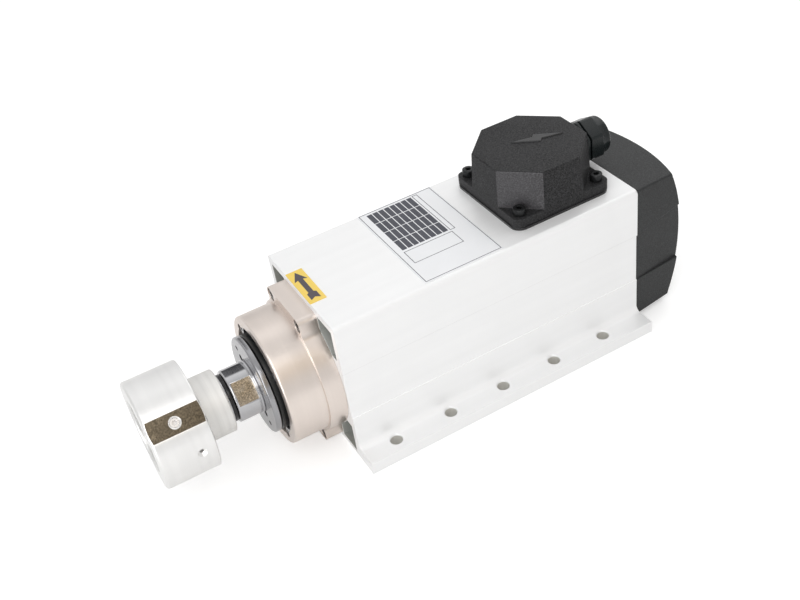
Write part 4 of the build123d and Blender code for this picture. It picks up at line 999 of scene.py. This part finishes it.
@dataclass
class Screws(SubAssembly):
    """A set of equal socket screws."""

    name: str
    node: str
    size: ScrewSize
    shank_length: float
    places: Sequence[Matrix]
    finish: Finish
    knurls: int = 32
    shank_sides: int = 24
    knurl_share: float = 0.965
    knurled_share: float = 0.8
    chamfer_share: float = 0.1
    crown_share: float = 0.86
    socket_rim: float = 0.62
    socket_share: float = 0.55
    tip_share: float = 0.85

    def head(self) -> Mesh:
        """Builds one screw along +Z with the underside of its head at the origin.

        Returns:
            The screw's mesh.
        """
        bm = bmesh.new()
        sides, rim, height = 2 * self.knurls, self.size.head_radius * MM, self.size.head_height
        bmesh.ops.create_cone(bm, cap_ends=True, segments=sides, radius1=rim, radius2=rim,
                              depth=height * MM, matrix=shift(z=height / 2))
        bevel(bm, self.highest(bm).edges, self.chamfer_share * rim)
        for vert in bm.verts:
            step = round(math.atan2(vert.co.y, vert.co.x) / math.tau * sides)
            if step % 2 and vert.co.z < self.knurled_share * height * MM:
                vert.co.xy *= self.knurl_share
        self.sink_socket(bm, self.highest(bm))
        shank = self.size.shank_radius * MM
        bmesh.ops.create_cone(bm, cap_ends=True, segments=self.shank_sides, radius1=shank * self.tip_share,
                              radius2=shank, depth=self.shank_length * MM, matrix=shift(z=-self.shank_length / 2))
        bmesh.ops.recalc_face_normals(bm, faces=bm.faces)
        return bm

    @staticmethod
    def highest(bm: Mesh) -> Face:
        """Returns a mesh's highest face."""
        return max(bm.faces, key=lambda face: face.calc_center_median().z)

    def sink_socket(self, bm: Mesh, top: Face) -> None:
        """Sinks a hexagon socket into the head.

        Args:
            bm: The screw's mesh.
            top: The head's top face.
        """
        narrowing = self.size.head_radius * self.crown_share - self.size.across * self.socket_rim
        bmesh.ops.inset_region(bm, faces=[top], thickness=narrowing * MM, depth=0.0)
        for vert in top.verts:
            angle = math.atan2(vert.co.y, vert.co.x)
            local = (angle + math.pi / 6) % (math.pi / 3) - math.pi / 6
            reach = self.size.across / 2 * MM / math.cos(local)
            vert.co.xy = Vector((math.cos(angle), math.sin(angle))) * reach
        walls = bmesh.ops.extrude_face_region(bm, geom=[top])
        floor = [item for item in walls["geom"] if isinstance(item, Vert)]
        bmesh.ops.translate(bm, verts=floor, vec=(0.0, 0.0, -self.socket_share * self.size.head_height * MM))
        bmesh.ops.delete(bm, geom=[top], context="FACES_ONLY")

    def build(self) -> None:
        """Builds the set in place of its CAD node."""
        bm = bmesh.new()
        stamp(bm, self.head(), self.places)
        self.piece(self.name, bm, Body.CASE, Slot.SCREW, [self.finish], [self.node])


@dataclass
class Case(SubAssembly):
    """The extruded body with its plates."""

    edge: float = 0.3
    duct_y: tuple[float, float] = (20.0, 36.6)
    duct_z: tuple[float, float] = (23.0, 43.1)
    duct_floor: float = -82.0
    hole_y: tuple[float, float] = (43.4, 50.6)
    hole_top: float = 7.7
    band_low: float = 31.0
    ledge_y: float = 39.9
    near: float = 0.1
    ledge_near: float = 0.4
    end_on: float = 0.99
    upright: float = 0.1
    upward: float = 0.5
    plate_low: tuple[float, float] = (-34.5, -37.8)
    plate_high: tuple[float, float] = (13.5, 39.2)
    plate_thickness: float = 0.4
    table_low: tuple[float, float] = (-30.0, -5.6)
    table_high: tuple[float, float] = (-0.6, 36.8)
    table_columns: int = 8
    table_rows: int = 4
    table_gap: float = 0.55
    box_low: tuple[float, float] = (-30.0, -19.3)
    box_high: tuple[float, float] = (0.2, -7.4)
    strip_high: float = 3.2
    line: float = 0.36
    line_inset: float = 0.9
    corner: float = 0.8
    ink_rise: float = 0.03
    arrow_low: tuple[float, float] = (-90.0, -14.8)
    arrow_high: tuple[float, float] = (-80.4, 16.4)
    arrow_thickness: float = 0.3
    arrow_tip: float = 14.0
    arrow_neck: float = 5.6
    arrow_tail: float = -13.2
    arrow_feather: float = -6.6
    arrow_head_half: float = 3.7
    arrow_stem_half: float = 1.45
    arrow_feather_half: float = 2.7
    arrow_barb: float = 0.9
    arrow_notch: float = 1.7

    def build(self) -> None:
        """Builds the body and both plates."""
        bm = softened("motor_housing", self.edge)
        for face in bm.faces:
            face.material_index = self.finish_index(face)
        # ducts and foot holes take darker copies of the case as painted shade, the ledges a lighter copy as a
        # painted highlight
        finishes = [self.look.case, self.look.shaded_duct, self.look.shaded_bore, self.look.ledge]
        self.piece("extruded_case", bm, Body.CASE, Slot.CASE, finishes, ["motor_housing"])
        self.rating_plate()
        self.arrow_plate()

    def finish_index(self, face: Face) -> int:
        """Finds which of the body's finishes a face takes.

        Args:
            face: The face.

        Returns:
            0 for the skin, 1 for the air ducts and 2 for the foot holes, both darker as painted shade, and 3 for
            the ledges over the foot, lighter as a painted highlight.
        """
        x, y, z = (part / MM for part in face.calc_center_median())
        from_axis = abs(z - AXIS_HEIGHT)
        in_duct = self.duct_y[0] < abs(y) < self.duct_y[1] and self.duct_z[0] < from_axis < self.duct_z[1]
        # duct walls and floor take the painted shade finish
        if in_duct and abs(face.normal.x) < self.end_on or abs(x - self.duct_floor) < self.near:
            return 1
        in_hole = self.hole_y[0] < abs(y) < self.hole_y[1] and self.near < z < self.hole_top
        # foot hole walls take the painted shade finish
        if in_hole and abs(face.normal.z) < self.upright:
            return 2
        on_ledge = abs(z - self.band_low) < self.ledge_near and abs(y) > self.ledge_y
        # upward ledges at the lower step take the painted highlight finish
        return 3 if on_ledge and face.normal.z > self.upward else 0

    @staticmethod
    def film(low: Sequence[float], high: Sequence[float], thickness: float) -> tuple[Mesh, list[float], float]:
        """Builds a flat film on the top face.

        Args:
            low: The film's lowest corner in millimetres.
            high: Its highest corner.
            thickness: How thick it is.

        Returns:
            Its mesh, its middle and the height of its face.
        """
        bm = bmesh.new()
        face = TOP_FACE + thickness
        middle = [(a + b) / 2 for a, b in zip(low, high)]
        size = [b - a for a, b in zip(low, high)]
        slab(bm, (*middle, face - thickness / 2), (*size, thickness))
        return bm, middle, face

    def frame_lines(self, bm: Mesh, low: Sequence[float], high: Sequence[float], z: float) -> None:
        """Prints a thin rectangle on a plate.

        Args:
            bm: The plate's mesh.
            low: The rectangle's lowest corner in millimetres.
            high: Its highest corner.
            z: The height of the plate's face.
        """
        middle_x, middle_y = (low[0] + high[0]) / 2, (low[1] + high[1]) / 2
        wide, long = high[0] - low[0], high[1] - low[1]
        rise = 2 * self.ink_rise
        for y in (low[1], high[1]):
            slab(bm, (middle_x, y, z), (wide + self.line, self.line, rise), 1)
        for x in (low[0], high[0]):
            slab(bm, (x, middle_y, z), (self.line, long - self.line, rise), 1)

    def rating_plate(self) -> None:
        """Builds the film plate with its blank table."""
        bm, _, face = self.film(self.plate_low, self.plate_high, self.plate_thickness)
        corners = [e for e in bm.edges if abs(e.verts[0].co.z - e.verts[1].co.z) > WELD]
        bevel(bm, corners, self.corner * MM, 4)
        inner_low = [v + self.line_inset for v in self.plate_low]
        inner_high = [v - self.line_inset for v in self.plate_high]
        self.frame_lines(bm, inner_low, inner_high, face)
        pitch_x = (self.table_high[0] - self.table_low[0]) / self.table_columns
        pitch_y = (self.table_high[1] - self.table_low[1]) / self.table_rows
        for column in range(self.table_columns):
            for row in range(self.table_rows):
                x = self.table_low[0] + (column + 0.5) * pitch_x
                y = self.table_low[1] + (row + 0.5) * pitch_y
                cell = (pitch_x - self.table_gap, pitch_y - self.table_gap, 2 * self.ink_rise)
                slab(bm, (x, y, face), cell, 1)
        self.frame_lines(bm, self.box_low, self.box_high, face)
        strip_low = (self.table_high[0] + self.line_inset, self.table_low[1])
        self.frame_lines(bm, strip_low, (self.strip_high, self.table_high[1]), face)
        self.piece("rating_film", bm, Body.CASE, Slot.PLATE, [self.look.film, self.look.ink], ["rating_plate"])

    def arrow_plate(self) -> None:
        """Builds the yellow film with the arrow that shows which way the tool turns."""
        bm, middle, face = self.film(self.arrow_low, self.arrow_high, self.arrow_thickness)
        half = [(0.0, self.arrow_tip), (self.arrow_head_half, self.arrow_neck),
                (self.arrow_stem_half, self.arrow_neck + self.arrow_barb),
                (self.arrow_stem_half, self.arrow_feather),
                (self.arrow_feather_half, self.arrow_feather - self.arrow_barb),
                (self.arrow_feather_half, self.arrow_tail), (0.0, self.arrow_tail + self.arrow_notch)]
        outline = half + [(-x, y) for x, y in reversed(half[1:-1])]
        verts = [bm.verts.new(Vector((middle[0] + x, middle[1] + y, face)) * MM) for x, y in outline]
        inked = bm.faces.new(verts)
        inked.material_index = 1
        raised = bmesh.ops.extrude_face_region(bm, geom=[inked])
        top = [item for item in raised["geom"] if isinstance(item, Vert)]
        bmesh.ops.translate(bm, verts=top, vec=(0.0, 0.0, self.ink_rise * MM))
        bmesh.ops.recalc_face_normals(bm, faces=bm.faces)
        finishes = [self.look.arrow_film, self.look.arrow_ink]
        self.piece("arrow_film", bm, Body.CASE, Slot.ARROW, finishes, ["direction_plate"])


@dataclass
class Nose(SubAssembly):
    """The front bearing housing, its cap and screws."""

    edge: float = 0.35
    flange_seat: float = -96.0
    flange_y: float = 16.5
    flange_z: float = 39.0
    flange_shank: float = 18.0
    cap_seat: float = -117.2
    cap_pitch: float = 30.3
    cap_angle: float = -40.0
    cap_shank: float = 10.0

    def build(self) -> None:
        """Builds the nose and its screws, and paints the cap."""
        self.rounded("front_bearing_housing", "nickel_nose", Body.CASE, Slot.NOSE, self.look.nose, self.edge,
                     ends_kept=True)
        self.paint(self.look.cap, "front_bearing_cap")
        face_forward = turn(-90, "Y")
        flange = [shift(self.flange_seat, y, AXIS_HEIGHT + z) @ face_forward
                  for y in (-self.flange_y, self.flange_y) for z in (-self.flange_z, self.flange_z)]
        Screws(self.wardrobe, self.look, "flange_screws", "front_flange_screws", M4, self.flange_shank, flange,
               self.look.oiled_screw).build()
        outward = shift(z=self.cap_pitch) @ face_forward
        cap = [shift(self.cap_seat) @ about_spindle(self.cap_angle + 90 * i) @ outward for i in range(4)]
        Screws(self.wardrobe, self.look, "cap_screws", "front_cap_screws", M3, self.cap_shank, cap,
               self.look.screw).build()


@dataclass
class Spindle(SubAssembly):
    """The turning pieces: shaft, labyrinth ring, hub and what is on them."""

    edge: float = 0.3
    hub_edge: float = 0.4
    fan_edge: float = 0.25
    shaft_flat: tuple[float, float] = (52.0, 13.5)
    hub_flat: tuple[float, float] = (49.0, 29.944)
    neck_start: float = -159.5

    def build(self) -> None:
        """Builds the visible turning pieces and paints the hidden ones."""
        bm = softened("shaft", self.edge)
        mark_flats(bm, *self.shaft_flat, 1)
        finishes = [self.look.shaft, self.look.shaft_flat]
        self.piece("ground_spindle", bm, Body.ROTOR, Slot.SHAFT, finishes, ["shaft"])
        self.rounded("slinger_disc", "labyrinth_ring", Body.ROTOR, Slot.RING, self.look.ring, self.edge)
        bm = softened("tool_hub", self.hub_edge, 3)
        mark_flats(bm, *self.hub_flat, 1)
        for face in bm.faces:
            if face.calc_center_median().x > self.neck_start * MM:
                face.material_index = 2
        finishes = [self.look.hub, self.look.hub_flat, self.look.neck]
        self.piece("turned_hub", bm, Body.ROTOR, Slot.HUB, finishes, ["tool_hub"])
        self.rounded("cooling_fan", "nylon_fan", Body.ROTOR, Slot.FAN, self.look.fan, self.fan_edge)
        self.paint(self.look.rubber, "neck_ring")
        self.paint(self.look.screw, "tool_set_screws", "hub_washer")
        self.paint(self.look.dark_screw, "hub_retaining_screw", "fan_circlip")
        self.paint(self.look.bearing, "front_bearing_inner_rings", "inner_ring_spacer", "rear_bearing_inner_ring",
                   "bearing_lock_nut")
        self.paint(self.look.stack, "rotor_core")


@dataclass
class Bearings(SubAssembly):
    """The fixed rings and the turning ball sets."""

    def build(self) -> None:
        """Paints the bearing nodes."""
        self.paint(self.look.bearing, "front_bearing_outer_rings", "outer_ring_spacer", "rear_bearing_outer_ring",
                   "front_bearing_balls", "rear_bearing_balls")
        self.paint(self.look.brass, "front_bearing_cages", "rear_bearing_cage")
        self.paint(self.look.screw, "preload_washer")


@dataclass
class Motor(SubAssembly):
    """The stator and the rear bracket."""

    edge: float = 0.4

    def build(self) -> None:
        """Paints the stator and builds the bracket."""
        self.paint(self.look.stack, "stator_core")
        self.paint(self.look.winding, "stator_windings")
        self.rounded("rear_bearing_bracket", "cast_end_shield", Body.CASE, Slot.BRACKET, self.look.bracket,
                     self.edge)


@dataclass
class Cover(SubAssembly):
    """The moulded fan cover and its long screws."""

    edge: float = 0.3
    seat: float = 123.4
    screw_y: float = 32.0
    screw_z: float = 29.0
    shank: float = 35.4

    def build(self) -> None:
        """Builds the cover with rounded edges and its screws."""
        self.rounded("fan_cover", "moulded_fan_cover", Body.CASE, Slot.PLASTIC, self.look.cover, self.edge)
        places = [shift(self.seat, y, AXIS_HEIGHT + z) @ turn(90, "Y")
                  for y in (-self.screw_y, self.screw_y) for z in (-self.screw_z, self.screw_z)]
        Screws(self.wardrobe, self.look, "cover_screws", "fan_cover_screws", M4, self.shank, places,
               self.look.dark_screw).build()


@dataclass
class TerminalBox(SubAssembly):
    """The hood, its gasket, its screws and what is inside."""

    edge: float = 0.5
    centre_x: float = 58.0
    ledge: float = 100.0
    facet_low: float = 104.0
    roof: float = 122.35
    pitch: float = 51.0
    shank: float = 11.0
    slanted: float = 0.5

    def build(self) -> None:
        """Builds the hood, gasket and screws, and paints the inside."""
        bm = softened("terminal_box_hood", self.edge, 3)
        for face in bm.faces:
            middle, normal = face.calc_center_median(), face.normal
            if middle.z > self.roof * MM:
                face.material_index = 1
            # corner facets that face -X take the lighter facet finish as painted light
            elif middle.z > self.facet_low * MM and min(-normal.x, abs(normal.y)) > self.slanted:
                face.material_index = 2
        finishes = [self.look.plastic, self.look.relief, self.look.lit_facet]
        self.piece("octagonal_hood", bm, Body.CASE, Slot.PLASTIC, finishes, ["terminal_box_hood"])
        self.rounded("terminal_box_gasket", "rubber_gasket", Body.CASE, Slot.RUBBER, self.look.rubber, self.edge, 3)
        half = self.pitch / 2
        places = [shift(self.centre_x + x, y, self.ledge) for x in (-half, half) for y in (-half, half)]
        Screws(self.wardrobe, self.look, "hood_screws", "terminal_box_screws", M4, self.shank, places,
               self.look.dark_screw).build()
        self.paint(self.look.block, "terminal_block")
        self.paint(self.look.brass, "terminal_studs")


@dataclass
class Gland(SubAssembly):
    """The cable gland on the hood's rear wall."""

    nut_edge: float = 0.4
    body_edge: float = 0.35

    def build(self) -> None:
        """Builds the gland's outer pieces and paints the inner ones."""
        black = self.look.smooth_plastic
        self.rounded("gland_clamp_nut", "domed_gland_nut", Body.CASE, Slot.GLAND, black, self.nut_edge, 3)
        self.rounded("cable_gland_body", "gland_body", Body.CASE, Slot.GLAND, black, self.body_edge)
        self.paint(black, "gland_lock_nut")
        self.paint(self.look.rubber, "gland_seal")


# Studio


@dataclass(frozen=True)
class SoftLamp:
    """A square soft lamp aimed at the spindle."""

    name: str
    place: Place
    power: float
    size: float
    aim: Place = (-0.02, 0.0, 0.05)

    def build(self) -> None:
        """Adds the lamp."""
        data = bpy.data.lights.new(self.name, "AREA")
        data.shape = "SQUARE"
        data.size = self.size
        data.energy = self.power
        lamp = bpy.data.objects.new(self.name, data)
        lamp.location = self.place
        lamp.rotation_euler = (Vector(self.aim) - Vector(self.place)).to_track_quat("-Z", "Y").to_euler()
        bpy.context.scene.collection.objects.link(lamp)


@dataclass(frozen=True)
class Patch:
    """A round place in the surroundings with a soft rim."""

    aim: Place
    inner: float
    outer: float
    colour: Colour

    def mask(self, graph: Graph, direction: Any) -> Socket:
        """Masks the place by the angle from its middle.

        Args:
            graph: The world's graph.
            direction: The socket with the direction looked in.

        Returns:
            The mask's socket.
        """
        dot = graph.add("VectorMath", {0: direction, 1: Vector(self.aim).normalized()}, operation="DOT_PRODUCT")
        start, full = (math.cos(math.radians(angle)) for angle in (self.outer, self.inner))
        return graph.remap(dot.outputs["Value"], start, full, 0.0, 1.0)


@dataclass
class Studio:
    """The floor, the surroundings, the lamps and the camera."""

    camera_place: Place = (-0.21874, -0.42645, 0.42567)
    camera_turn: Place = (51.2434, 7.5034, -29.4351)
    lens: float = 47.69
    floor_half: float = 3.0
    white: float = 1.0
    room: float = 0.73
    glow: float = 0.38
    sheen: float = 0.1
    gap_middle: float = 0.147
    gap_edge: tuple[float, float] = (0.02, 0.04)
    gap_top: tuple[float, float] = (0.78, 0.86)
    gap_colour: Colour = (0.06, 0.06, 0.065)
    ceiling: Patch = Patch((0.3, 0.7, 0.62), 24.0, 44.0, (1.0, 1.0, 1.0))
    dull: Patch = Patch((0.28, -0.52, 0.8), 8.0, 17.0, (0.06, 0.058, 0.052))
    warm: Patch = Patch((0.08, -0.76, 0.645), 11.0, 20.0, (0.52, 0.44, 0.33))
    floor_colour: Colour = (0.8, 0.8, 0.8)
    lamps: Sequence[SoftLamp] = field(default_factory=lambda: [
        SoftLamp("key_lamp", (-0.4, -0.7, 1.0), 4.8, 0.9),
        SoftLamp("rim_lamp", (0.7, 0.3, 1.0), 1.6, 0.8),
        SoftLamp("side_lamp", (-0.95, -0.6, 0.25), 2.2, 0.5),
    ])

    def build(self) -> None:
        """Builds the whole studio."""
        view = bpy.context.scene.view_settings
        view.view_transform = "Standard"
        self.camera()
        self.floor()
        self.world()
        for lamp in self.lamps:
            lamp.build()

    def camera(self) -> None:
        """Adds the camera at the photograph's viewing angle."""
        data = bpy.data.cameras.new("camera")
        data.lens = self.lens
        data.sensor_width = 36.0
        data.sensor_fit = "HORIZONTAL"
        data.clip_start = 0.01
        made = bpy.data.objects.new("camera", data)
        made.location = self.camera_place
        made.rotation_euler = [math.radians(angle) for angle in self.camera_turn]
        bpy.context.scene.collection.objects.link(made)
        bpy.context.scene.camera = made

    def floor(self) -> None:
        """Adds the pale floor, which keeps the shadow and looks white to the camera."""
        bm = bmesh.new()
        bmesh.ops.create_grid(bm, x_segments=1, y_segments=1, size=self.floor_half)
        mesh = bpy.data.meshes.new("floor")
        bm.to_mesh(mesh)
        bm.free()
        made = bpy.data.materials.new("pale_floor")
        made.use_nodes = True
        made.node_tree.nodes.clear()
        graph = Graph(made.node_tree)
        plain = graph.add("BsdfDiffuse", {"Color": (*self.floor_colour, 1.0)})
        rays = graph.add("LightPath").outputs
        strength = graph.total(graph.product(rays["Is Camera Ray"], self.glow),
                               graph.product(rays["Is Glossy Ray"], self.sheen))
        glow = graph.add("Emission", {"Color": (1.0, 1.0, 1.0, 1.0), "Strength": strength})
        lit = graph.add("AddShader", {0: plain.outputs[0], 1: glow.outputs[0]})
        graph.add("OutputMaterial", {"Surface": lit.outputs[0]})
        mesh.materials.append(made)
        floor = bpy.data.objects.new("floor", mesh)
        bpy.context.scene.collection.objects.link(floor)

    def strip(self, graph: Graph, direction: Any) -> Socket:
        """Masks the upright gap between the soft boxes at the back.

        Args:
            graph: The world's graph.
            direction: The socket with the direction looked in.

        Returns:
            The mask's socket.
        """
        across, away, up = graph.add("SeparateXYZ", {0: direction}).outputs
        aside = graph.math("ABSOLUTE", graph.math("SUBTRACT", across, self.gap_middle))
        within = graph.remap(aside, *self.gap_edge, 1.0, 0.0)
        below = graph.remap(up, *self.gap_top, 1.0, 0.0)
        behind = graph.math("GREATER_THAN", away, 0.0)
        return graph.product(graph.product(within, below), behind)

    def world(self) -> None:
        """Adds a white tent with a dim gap at its back and two dull places behind the camera."""
        world = bpy.data.worlds.new("studio")
        bpy.context.scene.world = world
        world.use_nodes = True
        world.node_tree.nodes.clear()
        graph = Graph(world.node_tree)
        direction = graph.add("TexCoord").outputs["Generated"]
        seen = graph.mix(self.ceiling.mask(graph, direction), (self.room,) * 3, self.ceiling.colour)
        seen = graph.mix(self.strip(graph, direction), seen, self.gap_colour)
        for patch in (self.dull, self.warm):
            seen = graph.mix(patch.mask(graph, direction), seen, patch.colour)
        tented = graph.add("Background", {"Color": seen, "Strength": 1.0})
        plain = graph.add("Background", {"Color": (1.0, 1.0, 1.0, 1.0), "Strength": self.white})
        rays = graph.add("LightPath").outputs
        both = graph.add("MixShader", {0: rays["Is Camera Ray"], 1: tented.outputs[0], 2: plain.outputs[0]})
        graph.add("OutputWorld", {"Surface": both.outputs[0]})


def main() -> None:
    """Builds the studio and every sub-assembly in order."""
    logging.basicConfig(level=logging.INFO, format="%(name)s %(message)s")
    Studio().build()
    wardrobe, look = Wardrobe(), Look()
    for kind in (Case, Nose, Spindle, Bearings, Motor, Cover, TerminalBox, Gland):
        LOG.info("building %s", kind.__name__)
        kind(wardrobe, look).build()


if __name__ == "__main__":
    main()
